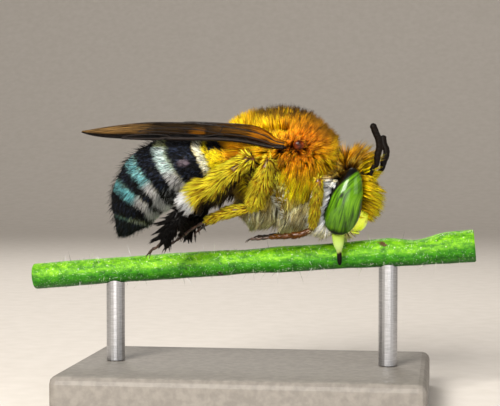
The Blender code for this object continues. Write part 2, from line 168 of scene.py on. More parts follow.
soft_lamp("key_lamp", (-0.034, -0.088, 0.054), 0.044, 0.175, (1.0, 0.97, 0.92))
soft_lamp("face_lamp", (0.090, -0.050, 0.030), 0.060, 0.030, (0.95, 0.97, 1.0))
soft_lamp("low_lamp", (0.010, -0.100, -0.002), 0.060, 0.045, (1.0, 0.99, 0.97))
soft_lamp("rim_lamp", (-0.020, 0.070, 0.060), 0.050, 0.030, (1.0, 0.98, 0.95))

ROOM_LIGHT = 0.38
world = bpy.data.worlds.new("studio_air")
world.use_nodes = True
world.node_tree.nodes["Background"].inputs["Color"].default_value = linear("#efeae4")
world.node_tree.nodes["Background"].inputs["Strength"].default_value = ROOM_LIGHT
bpy.context.scene.world = world
bpy.context.scene.view_settings.view_transform = "Standard"

VIEW_TURN = radians(8.0)
VIEW_RISE = radians(2.0)
VIEW_WIDTH = 0.0225
VIEW_AIM = Vector((0.0, 0.0, 0.00883))
lens = bpy.data.cameras.new("camera")
lens.lens = 100.0
lens.sensor_width = 36.0
lens.clip_start = 0.001
lens.clip_end = 5.0
reach = VIEW_WIDTH * lens.lens / lens.sensor_width
outward = Vector((sin(VIEW_TURN) * cos(VIEW_RISE), -cos(VIEW_TURN) * cos(VIEW_RISE), sin(VIEW_RISE)))
camera = bpy.data.objects.new("camera", lens)
camera.location = VIEW_AIM + outward * reach
camera.rotation_euler = (-outward).to_track_quat("-Z", "Y").to_euler()
bpy.context.collection.objects.link(camera)
bpy.context.scene.camera = camera


# ------------------------------------------------------------------ skin
# The bee's outer shell: head capsule, thorax, six overlapping abdomen rings and the hard leg joints,
# all one sheet of dark cuticle. It is built of rounded lumps and tubes melted into one closed skin.

MM = 0.001
SIDES = {"right": -1.0, "left": 1.0}  # which way each side of the bee lies from its middle
HEAD_CENTRE = Vector((4.45, 0.0, 9.1))
HEAD_LEAN = radians(15.0)


def head_place(forward, across, upward):
    """A point of the head's own leaning frame, in millimetres."""
    ahead = Vector((cos(HEAD_LEAN), 0.0, -sin(HEAD_LEAN)))
    above = Vector((sin(HEAD_LEAN), 0.0, cos(HEAD_LEAN)))
    return HEAD_CENTRE + ahead * forward + Vector((0.0, across, 0.0)) + above * upward


def lump(name, centre=(0.0, 0.0, 0.0), radii=(1.0, 1.0, 1.0), lean=0.0, columns=40, rows=24):
    """A ball squeezed to three radii, leaning about Y, on the millimetre bench."""
    bpy.ops.mesh.primitive_uv_sphere_add(segments=columns, ring_count=rows, radius=1.0, location=centre)
    ball = bpy.context.object
    ball.name = name
    ball.scale = radii
    ball.rotation_euler = (0.0, lean, 0.0)
    alone(ball)
    bpy.ops.object.transform_apply(location=True, rotation=True, scale=True)
    return ball


def smooth_path(rows, count):
    """Points of a smooth curve through the rows (Catmull-Rom), evenly spread in parameter."""
    rows = np.asarray(rows, float)
    place = np.linspace(0.0, len(rows) - 1.0, count)
    i = np.minimum(place.astype(int), len(rows) - 2)
    f = (place - i)[:, None]
    a, b = rows[np.maximum(i - 1, 0)], rows[i]
    c, d = rows[i + 1], rows[np.minimum(i + 2, len(rows) - 1)]
    return 0.5 * (2 * b + (c - a) * f + (2 * a - 5 * b + 4 * c - d) * f**2 + (3 * b - a - 3 * c + d) * f**3)


def tube(name, path, radii, sides=3, flat=1.0):
    """A tube bevelled to a radius at each point, its ends closed, on the millimetre bench."""
    curve = bpy.data.curves.new(name, "CURVE")
    curve.dimensions = "3D"
    curve.bevel_depth = 1.0
    curve.bevel_resolution = sides
    curve.use_fill_caps = True
    spline = curve.splines.new("POLY")
    spline.points.add(len(path) - 1)
    for point, place, radius in zip(spline.points, path, radii):
        point.co = (*place, 1.0)
        point.radius = radius
    made = bpy.data.objects.new(name, curve)
    bpy.context.collection.objects.link(made)
    alone(made)
    bpy.ops.object.convert(target="MESH")
    made = bpy.context.object
    bpy.ops.object.mode_set(mode="EDIT")
    bpy.ops.mesh.select_all(action="SELECT")
    bpy.ops.mesh.remove_doubles(threshold=0.0005)
    bpy.ops.mesh.normals_make_consistent(inside=False)
    bpy.ops.object.mode_set(mode="OBJECT")
    if flat != 1.0:
        middle = float(np.mean([place[1] for place in path]))
        for vert in made.data.vertices:
            vert.co.y = middle + (vert.co.y - middle) * flat
    return made


def points_of(obj):
    """An object's points as an array, in its own units."""
    flat = np.empty(len(obj.data.vertices) * 3, np.float32)
    obj.data.vertices.foreach_get("co", flat)
    return flat.reshape(-1, 3).astype(float)


def put_points(obj, points):
    """Moves an object's points to these places."""
    obj.data.vertices.foreach_set("co", points.astype(np.float32).ravel())


def joined(name, parts):
    """Joins finished parts into one object of this name."""
    alone(*parts)
    if len(parts) > 1:
        bpy.ops.object.join()
    made = bpy.context.object
    made.name = name
    return made


def search_tree(points):
    """A tree that finds the nearest of these points, and its number."""
    tree = KDTree(len(points))
    for number, point in enumerate(points):
        tree.insert(point, number)
    tree.balance()
    return tree


def node_line(name, start, slices=5):
    """The middle line of a long solid, from the end nearest start, in millimetres."""
    points = np.unique(points_of(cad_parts[name]).round(7), axis=0) / MM
    centre = points.mean(axis=0)
    long_axis = np.linalg.svd(points - centre, full_matrices=False)[2][0]
    along = (points - centre) @ long_axis
    high_end, low_end = centre + long_axis * along.max(), centre + long_axis * along.min()
    if np.linalg.norm(high_end - start) < np.linalg.norm(low_end - start):
        along = -along
    edges = np.linspace(along.min() - 1e-6, along.max() + 1e-6, slices + 1)
    slabs = [points[(along >= low) & (along <= high)] for low, high in zip(edges, edges[1:])]
    line = [slab.mean(axis=0) for slab in slabs if len(slab)]
    line[0] = line[0] + (line[0] - line[1]) * 0.45
    line[-1] = line[-1] + (line[-1] - line[-2]) * 0.45
    return np.array(line)


# the curled middle line of the abdomen: x, z, half width and half height of the bare skin
ABDOMEN_LINE = [
    (-0.40, 10.55, 0.55, 0.50),
    (-0.99, 10.70, 1.15, 0.88),
    (-1.95, 10.66, 1.80, 1.08),
    (-3.10, 10.56, 1.98, 1.19),
    (-4.04, 10.25, 1.96, 1.30),
    (-4.72, 9.72, 1.80, 1.25),
    (-5.22, 9.03, 1.50, 1.05),
    (-5.50, 8.22, 1.05, 0.78),
    (-5.82, 7.58, 0.36, 0.28),
]
RING_EDGES = (0.135, 0.305, 0.48, 0.635, 0.785, 0.92)  # rear rims of the abdomen's rings along that line


def abdomen_skin():
    """The abdomen as one tube, each ring flaring a little to its rear rim, then widened side to side."""
    steps = 110
    rows = smooth_path(ABDOMEN_LINE, steps)
    share = np.linspace(0.0, 1.0, steps)
    starts = np.array((0.0,) + RING_EDGES)
    ring = np.searchsorted(starts, share, side="right") - 1
    ends = np.array(RING_EDGES + (1.05,))
    within = (share - starts[ring]) / (ends[ring] - starts[ring])
    flare = 0.975 + 0.035 * within**1.5
    path = np.stack([rows[:, 0], np.zeros(steps), rows[:, 1]], axis=1)
    made = tube("abdomen_lump", path, rows[:, 3] * flare, sides=8)
    points = points_of(made)
    nearest = ((points[:, None, [0, 2]] - rows[None, :, :2]) ** 2).sum(axis=2).argmin(axis=1)
    points[:, 1] *= rows[nearest, 2] / rows[nearest, 3]
    put_points(made, points)
    return made


lumps = {
    "thorax": [
        lump("thorax_lump", (1.50, 0.0, 10.32), (1.98, 1.82, 1.86)),
        lump("neck_lump", (3.25, 0.0, 9.45), (0.75, 0.70, 0.85)),
        lump("saddle_lump", (0.12, 0.0, 11.30), (0.95, 1.20, 0.78)),
        lump("chest_lump", (2.35, 0.0, 8.95), (1.20, 1.20, 0.90)),
        lump("hip_lump", (0.85, 0.0, 9.15), (1.15, 1.20, 0.80)),
    ],
    "abdomen": [abdomen_skin()],
    "head": [
        lump("head_lump", head_place(-0.12, 0.0, -0.05), (0.92, 1.56, 1.62), HEAD_LEAN, 48, 32),
        lump("brow_lump", head_place(-0.05, 0.0, 0.72), (0.74, 1.10, 0.82), HEAD_LEAN),
        lump("cheek_lump_right", head_place(-0.66, -1.22, -0.25), (0.36, 0.42, 1.15), HEAD_LEAN),
        lump("cheek_lump_left", head_place(-0.66, 1.22, -0.25), (0.36, 0.42, 1.15), HEAD_LEAN),
    ],
}

LEG_SKIN = {  # hard radius at hip, middle and end of each joint
    "fore": {"femur": (0.15, 0.22, 0.15), "tibia": (0.12, 0.18, 0.14), "basitarsus": (0.10, 0.13, 0.09)},
    "mid": {"femur": (0.18, 0.27, 0.18), "tibia": (0.13, 0.29, 0.27), "basitarsus": (0.13, 0.17, 0.12)},
    "hind": {"femur": (0.18, 0.28, 0.20), "tibia": (0.15, 0.34, 0.30), "basitarsus": (0.20, 0.28, 0.17)},
}
LEG_STEPS = 14
leg_lines = {}
for hand, way in SIDES.items():
    for leg, joints in LEG_SKIN.items():
        start = np.array((1.8, 0.6 * way, 8.6))
        for joint, radii in joints.items():
            line = node_line(f"{leg}leg_{joint}_{hand}", start)
            leg_lines[leg, joint, hand] = line
            if joint == "femur":
                line[:, 1] *= np.linspace(0.72, 0.94, len(line))
                line = np.vstack([[line[0][0] + 0.1, 0.75 * way, 8.75], line])
            else:
                line = np.vstack([start + (line[0] - start) * 0.25, line])
            girths = smooth_path(np.array(radii)[:, None], LEG_STEPS)[:, 0]
            flesh = tube(f"{leg}_{joint}_{hand}_lump", smooth_path(line, LEG_STEPS), girths, sides=4)
            lumps[leg, joint, hand] = [flesh]
            start = line[-1]


SKIN_GRAIN = 0.053  # voxel size that still parts the legs from the belly
regions = list(lumps)
lump_points = [np.vstack([points_of(obj) for obj in objects]) for objects in lumps.values()]
owner_region = np.repeat(np.arange(len(regions)), [len(points) for points in lump_points])
owners = search_tree(np.vstack(lump_points))

skin = joined("skin", [obj for objects in lumps.values() for obj in objects])
melt = skin.modifiers.new("melt", "REMESH")
melt.mode = "VOXEL"
melt.voxel_size = SKIN_GRAIN
bpy.ops.object.modifier_apply(modifier="melt")
relax = skin.modifiers.new("relax", "SMOOTH")
relax.factor = 0.5
relax.iterations = 3
bpy.ops.object.modifier_apply(modifier="relax")

skin_points = points_of(skin)
skin.data.calc_loop_triangles()
skin_faces = np.empty(len(skin.data.loop_triangles) * 3, np.int32)
skin.data.loop_triangles.foreach_get("vertices", skin_faces)
skin_faces = skin_faces.reshape(-1, 3)
skin_normals = np.empty(len(skin_points) * 3, np.float32)
skin.data.vertex_normals.foreach_get("vector", skin_normals)
skin_normals = skin_normals.reshape(-1, 3).astype(float)
skin_region = np.array([owner_region[owners.find(point)[1]] for point in skin_points])


def to_metres(obj):
    """Brings a finished bench piece down to metres, its origin at the model's origin."""
    alone(obj)
    obj.scale = (MM, MM, MM)
    bpy.ops.object.transform_apply(location=True, rotation=True, scale=True)


def fasten(piece, slot, *nodes):
    """Every piece rides on the one body and says which solids it stands for; slot is not used."""
    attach(piece, "root")
    if nodes:
        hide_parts(*nodes)


def finish(piece, material, slot, *nodes):
    """Smooths a bench piece, gives it its material, brings it to metres and fastens it."""
    alone(piece)
    bpy.ops.object.shade_smooth()
    piece.data.materials.append(material)
    to_metres(piece)
    fasten(piece, slot, *nodes)


def along_line(points, line):
    """For each point, how far along a line it lies (0 to 1), the nearest place on it and the way it runs."""
    line = np.asarray(line, float)
    best = np.full(len(points), np.inf)
    share = np.zeros(len(points))
    nearest = np.zeros((len(points), 3))
    heading = np.zeros((len(points), 3))
    for k, (a, b) in enumerate(zip(line, line[1:])):
        step = b - a
        f = np.clip(((points - a) @ step) / (step @ step), 0.0, 1.0)
        place = a + f[:, None] * step
        gap = ((points - place) ** 2).sum(axis=1)
        closer = gap < best
        best[closer] = gap[closer]
        share[closer] = (k + f[closer]) / (len(line) - 1)
        nearest[closer] = place[closer]
        heading[closer] = step / np.linalg.norm(step)
    return share, nearest, heading


# ------------------------------------------------------------------ markings
# One set of rules gives skin and hair the same colours: a golden thorax that turns orange round the wing
# roots and white below, blue-green bands on a black abdomen, golden legs, a yellow-green lower face.


def ramp(value, low, high):
    """A smooth step from 0 at low to 1 at high."""
    f = np.clip((value - low) / (high - low), 0.0, 1.0)
    return f * f * (3.0 - 2.0 * f)


def fade(value, low, high):
    """A smooth step from 1 at low to 0 at high."""
    return 1.0 - ramp(value, low, high)


def blend(a, b, share):
    """Mixes two colours, or rows of them, by one share or a share for each row."""
    return a + (b - a) * np.reshape(share, (-1, 1))


def hair_dye(hex_colour, count):
    """One colour repeated for every root."""
    return np.tile(linear(hex_colour)[:3], (count, 1))


def repaint(colours, *coats):
    """Lays more colours over the first, each a hex colour and its share at each root."""
    for hex_colour, share in coats:
        colours = blend(colours, np.array(linear(hex_colour)[:3]), share)
    return colours


abdomen_path = smooth_path([(x, 0.0, z) for x, z, _, _ in ABDOMEN_LINE], 90)
TEGULA = np.array((2.50, 2.30, 11.40))  # where the left wing scale sits


def abdomen_place(points):
    """A point's share of the way back and down the abdomen's side, the way to the tail, and its height."""
    share, nearest, heading = along_line(points * (1.0, 0.0, 1.0), abdomen_path)
    upward = np.stack([heading[:, 2], np.zeros(len(points)), -heading[:, 0]], axis=1)
    height = ((points - nearest) * upward).sum(axis=1)
    return share, np.clip((0.6 - height) / 1.6, 0.0, 1.0), heading, height


# each pale band: its front and rear edge on the back, and how far forward each edge swings at the belly
BANDS = (
    (0.396, 0.448, 0.085, 0.045),
    (0.546, 0.600, 0.010, -0.015),
    (0.680, 0.735, -0.010, -0.050),
    (0.865, 0.885, 0.015, 0.030),
)
BAND_DYES = ("#dcfff8", "#90ecf8", "#74dcec", "#3c8c90")
BELLY_DYES = ("#ffffff", "#ffffff", "#ffffff", "#a8c0b4")


def band_paint(points, colours):
    """Lays the golden front and the pale bands of the abdomen over its black."""
    share, belly, _, _ = abdomen_place(points)
    rim = share + 0.08 * belly
    golden = fade(rim, 0.267, 0.282)
    for (front, rear, front_swing, rear_swing), dye, belly_dye in zip(BANDS, BAND_DYES, BELLY_DYES):
        a = front - front_swing * belly**1.5
        b = rear - rear_swing * belly**1.5
        inside = ramp(share, a - 0.008, a + 0.008) * fade(share, b - 0.008, b + 0.008)
        pale = repaint(hair_dye(dye, len(points)), (belly_dye, ramp(belly, 0.42, 0.68)),
                       ("#a8a430", fade(share, a, a + 0.014) * 0.55))
        if front < 0.5:
            pale = repaint(pale, ("#98981c", ramp(points[:, 2], 11.28, 11.40) * 0.8))
        colours = blend(colours, pale, inside)
    patch = ramp(rim, 0.10, 0.13) * fade(rim, 0.205, 0.225) * fade(belly, 0.10, 0.18)
    # a pale lilac spot on the black ring: a bare worn patch, its pale lilac partly the bare cuticle and
    # partly painted sheen
    wear_and_sheen = np.linalg.norm(np.stack([(share - 0.315) / 0.028, (belly - 0.36) / 0.12], axis=1), axis=1)
    return repaint(
        colours,
        ("#f6a800", golden),
        ("#fcd808", golden * ramp(rim, 0.11, 0.18)),
        ("#fffad0", golden * ramp(rim, 0.234, 0.250)),
        ("#0a0806", patch),
        ("#b49cae", fade(wear_and_sheen, 0.4, 1.1) * 0.6),
        ("#efe8cc", golden * ramp(belly, 0.7, 0.95)),
    )


def thorax_paint(points):
    """Golden above, orange round the wing roots and at the waist, straw below, white beside the head."""
    x, z = points[:, 0], points[:, 2]
    gap = np.linalg.norm((np.abs(points) - TEGULA) / (1.25, 1.6, 1.0), axis=1)
    return repaint(
        hair_dye("#fcbc00", len(points)),
        ("#f09800", 0.8 * ramp(x, 0.9, 2.0) * ramp(z, 11.2, 11.9)),
        ("#6e3800", 0.92 * ramp(x, 1.6, 2.6) * ramp(z, 10.9, 11.5)),
        ("#ee7600", 0.95 * fade(gap, 0.45, 1.35) * (1.0 - 0.55 * ramp(z, 11.6, 12.1))),
        ("#f89800", 0.9 * fade(x, 0.2, 1.4) * fade(z, 11.3, 11.9)),
        ("#fcd80c", fade(z, 9.9, 10.9) * 0.95),
        ("#f0e8b4", fade(z, 8.9, 9.8)),
        # dark brown low on the rear, between the mid and hind legs: painted shade between the legs
        ("#140c04", 0.85 * fade(x, 0.1, 0.6) * ramp(z, 8.8, 9.1) * fade(z, 9.9, 10.3)),
        ("#ffffff", ramp(x, 2.95, 3.25) * fade(z, 9.5, 10.0)),
    )


def head_frame(points):
    """Points in the head's own leaning frame: forward, across, upward."""
    ahead = np.array((cos(HEAD_LEAN), 0.0, -sin(HEAD_LEAN)))
    above = np.array((sin(HEAD_LEAN), 0.0, cos(HEAD_LEAN)))
    apart = points - np.array(HEAD_CENTRE)
    return np.stack([apart @ ahead, points[:, 1], apart @ above], axis=1)


def head_paint(points):
    """Golden crown and face, white cheeks behind the eyes, pale hair round the mouth."""
    forward, across, upward = head_frame(points).T
    lid = np.abs(upward - 1.25 * forward - 1.60)
    return repaint(
        hair_dye("#ffd000", len(points)),
        ("#d08000", ramp(-forward, -0.3, 0.3) * ramp(upward, 0.5, 1.1) * 0.9),
        ("#f4faff", ramp(-forward, -0.1, 0.2) * fade(upward, 0.5, 0.85)),
        ("#341a04", fade(lid, 0.25, 0.60) * ramp(upward, 0.55, 0.8) * 0.85 * ramp(np.abs(across), 0.6, 0.9)),
        ("#f4e9a8", fade(upward, -1.35, -1.0) * 0.8),
    )


def face_skin(points, colours):
    """The bare yellow-green of the lower face and of the strips inside the eyes."""
    forward, across, upward = head_frame(points).T
    lower = fade(upward, -0.35, -0.1)
    strip = ramp(np.abs(across), 0.72, 0.84) * fade(upward, 0.1, 0.5)
    return repaint(colours, ("#d2dc28", ramp(forward, 0.1, 0.4) * np.maximum(lower, strip)))


LEG_DYES = {"fore": "#fcb800", "mid": "#ffb800", "hind": "#ffc400"}
LEG_SKIN_DYES = {"fore": "#6b3c12", "mid": "#6b3c12", "hind": "#5a3010"}
BLACK_BRUSH = ("hind", "basitarsus")  # the long first joint of the hind foot


def leg_paint(points, leg, joint):
    """Golden legs with brown fore feet, white on the front of the hind shins, black hind feet; the fore
    feet's brown is partly painted shade, and the hind thighs are darkened low down by painted shade.
    """
    if (leg, joint) == BLACK_BRUSH:
        return hair_dye("#0b0908", len(points))
    # the fore foot's brown hair: partly its own colour, partly painted shade where the foot turns back below
    if (leg, joint) == ("fore", "basitarsus"):
        return hair_dye("#5a3608", len(points))
    if joint == "femur":
        # the hind thigh's hair darkened low down: painted shade between the legs
        shade = 0.85 if leg == "hind" else 0.0
        return repaint(thorax_paint(points), ("#140c04", fade(points[:, 2], 9.6, 10.2) * shade))
    colours = hair_dye(LEG_DYES[leg], len(points))
    if (leg, joint) == ("hind", "tibia"):
        colours = repaint(colours, ("#f4fbff", fade(points[:, 0] + 0.35 * points[:, 2], 1.12, 1.28)))
    return colours


def skin_paint(region, points):
    """The cuticle's colour: near black, warmed by the coat that grows there."""
    if region == "head":
        return face_skin(points, hair_dye("#1a110a", len(points)))
    if region == "abdomen":
        return band_paint(points, hair_dye("#08090b", len(points))) * 0.6
    if region == "thorax":
        return blend(hair_dye("#160d06", len(points)), thorax_paint(points), 0.10)
    leg, joint, _ = region
    return hair_dye("#0a0706" if (leg, joint) == BLACK_BRUSH else LEG_SKIN_DYES[leg], len(points))


skin_colours = np.zeros((len(skin_points), 4))
skin_colours[:, 3] = 1.0
for number, region in enumerate(regions):
    here = skin_region == number
    skin_colours[here, :3] = skin_paint(region, skin_points[here])
layer = skin.data.color_attributes.new("markings", "FLOAT_COLOR", "POINT")
layer.data.foreach_set("color", skin_colours.astype(np.float32).ravel())

# bee cuticle: hard, dark and finely pitted, so it glints where the hair is thin
cuticle, tree, shader = new_material("bee_cuticle", 0.34)
place = node(tree, "TexCoord").outputs["Object"]
marks = node(tree, "Attribute", {"attribute_name": "markings"})
pits = node(tree, "TexVoronoi", Vector=place, Scale=16000.0)
stain = node(tree, "TexNoise", Vector=place, Scale=2600.0, Detail=5.0)
tone = node(tree, "ValToRGB", Fac=stain, stops=[(0.3, "#a8a8a8"), (0.7, "#ffffff")])
node(tree, "MixRGB", {"blend_type": "MULTIPLY"}, Color1=marks, Color2=tone, Fac=1.0,
     feeds=shader.inputs["Base Color"])
node(tree, "Bump", Height=pits, Strength=0.5, Distance=0.00001, feeds=shader.inputs["Normal"])
solids = ["head", "thorax"] + [f"abdomen_{number}" for number in range(1, 7)]
solids += [f"{leg}leg_{joint}_{hand}" for leg, joint, hand in leg_lines]
finish(skin, cuticle, "thorax_coat", *solids)


# ------------------------------------------------------------------ coat of the thorax
# Branched plume hair, dense and upright on the back, combed down and back on the sides. Each tuft is a
# few tapering hairs drawn together at the tip, and each hair is a closed three-sided spike.

dice = np.random.default_rng(20221)
TUFT_PATCH = 0.003  # how wide each tuft's patch is on the bake map


def unit(rows):
    """Rows brought to length one."""
    return rows / np.maximum(np.linalg.norm(rows, axis=1, keepdims=True), 1e-9)


def roots_on(wanted, count, share=None):
    """Tuft roots scattered over the skin of some regions, as dense as share, and the way out there."""
    numbers = [number for number, region in enumerate(regions) if region in wanted]
    faces = skin_faces[np.isin(skin_region[skin_faces[:, 0]], numbers)]
    corners = skin_points[faces]
    weight = np.linalg.norm(np.cross(corners[:, 1] - corners[:, 0], corners[:, 2] - corners[:, 0]), axis=1)
    if share is not None:
        weight = weight * share(corners.mean(axis=1))
    pick = dice.choice(len(faces), count, p=weight / weight.sum())
    a, b = dice.random((2, count, 1))
    a, b = np.where(a + b > 1.0, 1.0 - a, a), np.where(a + b > 1.0, 1.0 - b, b)
    corners = corners[pick]
    place = corners[:, 0] + a * (corners[:, 1] - corners[:, 0]) + b * (corners[:, 2] - corners[:, 0])
    return place, unit(skin_normals[faces[pick]].mean(axis=1))


def combed(facing, comb, stand):
    """The way hair lies: the comb laid flat on the skin, raised by stand along the skin's outward way."""
    flat = comb - facing * (comb * facing).sum(axis=1, keepdims=True)
    return unit(flat + facing * np.reshape(stand, (-1, 1)))


def hair_mesh(name, roots, tips, belly, widths, dyes_and_root_shade, chart):
    """One joined mesh of closed spikes. belly is each hair's middle point, or None for straight hair."""
    count = len(roots)
    aim = unit(tips - roots)
    side = unit(np.cross(aim, dice.normal(size=(count, 3))))
    other = np.cross(aim, side)
    ring = [cos(2 * pi * k / 3) * side + sin(2 * pi * k / 3) * other for k in range(3)]
    rows = [roots + corner * widths[:, None] for corner in ring]
    faces = [(2, 1, 0)]
    dye_and_root_shade_rows = [dyes_and_root_shade[0]] * 3
    if belly is not None:
        rows += [belly + corner * widths[:, None] * 0.75 for corner in ring]
        dye_and_root_shade_rows += [dyes_and_root_shade[1]] * 3
        for k in range(3):
            n = (k + 1) % 3
            faces += [(k, n, n + 3), (k, n + 3, k + 3)]
    top = len(rows) - 3
    faces += [(top + k, top + (k + 1) % 3, top + 3) for k in range(3)]
    rows.append(tips)
    dye_and_root_shade_rows.append(dyes_and_root_shade[2])
    points = np.stack(rows, axis=1)
    each = points.shape[1]
    index = (np.arange(count)[:, None, None] * each + np.array(faces)[None]).reshape(-1, 3)
    mesh = bpy.data.meshes.new(name)
    mesh.vertices.add(count * each)
    mesh.vertices.foreach_set("co", (points * MM).astype(np.float32).ravel())
    mesh.loops.add(index.size)
    mesh.loops.foreach_set("vertex_index", index.astype(np.int32).ravel())
    mesh.polygons.add(len(index))
    mesh.polygons.foreach_set("loop_start", np.arange(0, index.size, 3, dtype=np.int32))
    mesh.update(calc_edges=True)
    mesh.shade_smooth()
    colours = np.ones((count, each, 4), np.float32)
    colours[:, :, :3] = np.stack(dye_and_root_shade_rows, axis=1)
    # the dye attribute holds each hair's colour, darkened towards the root as painted shade
    layer = mesh.color_attributes.new("dye", "FLOAT_COLOR", "POINT")
    layer.data.foreach_set("color", colours.ravel())
    spot = chart[:, None, :] + np.array([(k % 3, k // 3) for k in range(each)])[None] * (TUFT_PATCH / 3)
    uv_map = mesh.uv_layers.new(name="OFBake")
    uv_map.data.foreach_set("uv", spot.reshape(-1, 2)[index.ravel()].astype(np.float32).ravel())
    mesh.materials.append(plume)
    obj = bpy.data.objects.new(name, mesh)
    bpy.context.collection.objects.link(obj)
    return obj


def in_locks(roots, lie, length, seeding, pull):
    """Leans tufts' tips towards the nearest of a share of tufts that seed locks, and gives each its tone."""
    seeds = dice.choice(len(roots), max(4, int(len(roots) * seeding)), replace=False)
    near = search_tree(roots[seeds])
    lock = np.array([near.find(point)[1] for point in roots])
    tips = roots + lie * length[:, None]
    drawn = (tips[seeds][lock] - tips) / length[:, None] * np.reshape(pull, (-1, 1))
    return unit(lie + drawn), dice.uniform(0.78, 1.22, len(seeds))[lock]


def grow_coat(name, roots, facing, lie, length, dyes_and_root_shade, chart, hairs=5, spread=0.07, draw=0.7, width=0.018,
              bow=0.0, wild=0.10, sink=0.03):
    """Grows tufts: hairs rooted round each tuft's root, bowed over, their tips drawn together."""
    count = len(roots) * hairs
    tuft = np.repeat(np.arange(len(roots)), hairs)
    out = facing[tuft]
    side = unit(np.cross(out, dice.normal(size=(count, 3))))
    base = roots[tuft] + side * spread * np.sqrt(dice.random((count, 1))) - out * sink
    aim = unit(lie[tuft] + dice.normal(size=(count, 3)) * wild)
    reach = (length[tuft] * dice.uniform(0.72, 1.12, count))[:, None]
    tip = base + aim * reach
    gathered = roots[tuft] + lie[tuft] * length[tuft][:, None]
    tip += (gathered - tip) * draw * dice.uniform(0.3, 1.0, (count, 1))
    belly = (base + tip) / 2 + out * reach * bow if bow else None
    tone = dice.uniform(0.8, 1.5, (len(roots), 1))
    tone = np.where(dice.random((len(roots), 1)) < 0.12, tone * 0.25, tone)[tuft]
    tone = tone * dice.uniform(0.4, 1.5, (count, 1))
    shades = [np.clip(dye[tuft] * tone, 0.0, 1.0) for dye in dyes_and_root_shade]
    widths = width * dice.uniform(0.8, 1.2, count)
    return hair_mesh(name, base, tip, belly, widths, shades, chart[tuft])


def clear_of(balls, *rows):
    """Which hairs, given as rows of points on them, keep clear of balls of (centre, radii, lean)."""
    keep = np.ones(len(rows[0]), bool)
    for centre, radii, lean in balls:
        turn = np.array(Matrix.Rotation(-lean, 3, "Y"))
        for points in rows:
            apart = ((points - np.array(centre)) @ turn.T) / np.array(radii)
            keep &= (apart**2).sum(axis=1) > 1.0
    return keep


# plume hair: fine, feathery and matt, coloured from root to tip with painted shade darkening the roots, and
# a little patchy along the body
plume, tree, shader = new_material("bee_plume_hair", 0.5, Specular_IOR_Level=0.15)
place = node(tree, "TexCoord").outputs["Object"]
dye = node(tree, "Attribute", {"attribute_name": "dye"})
patchy = node(tree, "TexNoise", Vector=place, Scale=1800.0, Detail=3.0)
tone = node(tree, "ValToRGB", Fac=patchy, stops=[(0.3, "#d0d0d0"), (0.65, "#ffffff")])
node(tree, "MixRGB", {"blend_type": "MULTIPLY"}, Color1=dye, Color2=tone, Fac=1.0,
     feeds=shader.inputs["Base Color"])


def thorax_lie(roots, facing):
    """Upright on the back, to the rear over the waist, fanned out round the wing roots, then down."""
    x, z = roots[:, 0], roots[:, 2]
    upper = ramp(z, 10.6, 11.9)
    comb = np.stack([-0.35 + 0.0 * x, 0.0 * x, -1.0 + 1.0 * upper], axis=1)
    comb[:, 0] += upper * (0.40 + 0.7 * ramp(x, 2.4, 3.4))
    collar = ramp(x, 3.0, 3.4) * ramp(z, 10.6, 11.2)
    comb += collar[:, None] * np.array((-0.6, 0.0, 1.2))
    waist = fade(x, 0.3, 1.3) * ramp(z, 9.6, 10.4) * fade(z, 11.3, 11.8)
    comb += waist[:, None] * np.array((-1.6, 0.0, 0.75))
    hub = TEGULA * np.stack([np.ones(len(x)), np.sign(roots[:, 1]), np.ones(len(x))], axis=1)
    away = roots - hub
    near = fade(np.linalg.norm(away, axis=1), 0.4, 1.1)
    comb += unit(away) * near[:, None] * 0.9
    stand = 0.46 + 1.7 * upper - 0.10 * near - 0.20 * waist
    return combed(facing, comb, stand)


def turn_share(side, top):
    """How far round something is, from 0 to 1, given how far it lies to the side and the top."""
    return (np.arctan2(side, top) / (2 * pi)) % 1.0


def bake_chart(turn, along):
    """Where each tuft's patch lies on the bake map: round the piece, then along it."""
    return np.stack([0.01 + 0.98 * turn, np.clip(0.01 + 0.98 * along, 0.0, 0.99)], axis=1)


EYE_CENTRE = (-0.04, 1.45, -0.13)
EYE_RADII = (0.78, 0.63, 1.52)
EYE_LEAN = HEAD_LEAN + radians(1.5)
EYE_ROOM = ((0.06, 0.62, 0.58), (0.0, -0.13, 0.78), (-0.05, -0.85, 0.80))  # shift, rise and reach
hard_balls = []  # where no hair may stand: the eyes and the wing scales
for way in SIDES.values():
    for shift, rise, reach in EYE_ROOM:
        centre = head_place(EYE_CENTRE[0] + shift, EYE_CENTRE[1] * way, rise)
        hard_balls += [(centre, (reach, 1.2, 0.82), EYE_LEAN + radians(7.0))]
    hard_balls += [((2.44, 2.34 * way, 11.42), (0.26, 0.24, 0.24), 0.0)]

WING_ROOT = np.array((2.00, 2.42, 11.36))
WING_TIP = np.array((-7.60, 1.45, 11.90))
WING_ROOF = radians(42.0)


def wing_frame(way):
    """Where a wing is hinged, and the ways along it, inward across it and up from it."""
    root, tip = WING_ROOT * (1.0, way, 1.0), WING_TIP * (1.0, way, 1.0)
    along = unit((tip - root)[None])[0]
    inward = np.array((0.0, -way * cos(WING_ROOF), sin(WING_ROOF)))
    inward = unit((inward - along * (inward @ along))[None])[0]
    return root, np.stack([along, inward, np.cross(along, inward) * way])


def under_wings(roots, tips):
    """How much of each hair fits under the wings: 1 where it is clear of them, 0 where it can't be."""
    share = np.ones(len(roots))
    for way in SIDES.values():
        hinge, axes = wing_frame(way)
        low, high = (roots - hinge) @ axes.T, (tips - hinge) @ axes.T
        meets = (high[:, 0] > 0.05) & (high[:, 1] > -0.3) & (high[:, 1] < 1.25) & (high[:, 2] > -0.05)
        meets &= low[:, 2] < 0.3
        room = (-0.05 - low[:, 2]) / np.maximum(high[:, 2] - low[:, 2], 1e-6)
        share = np.where(meets, np.minimum(share, np.clip(room, 0.0, 1.0)), share)
    return share


THORAX_AXIS = 10.3
SHORTEST_TUFT = 0.12


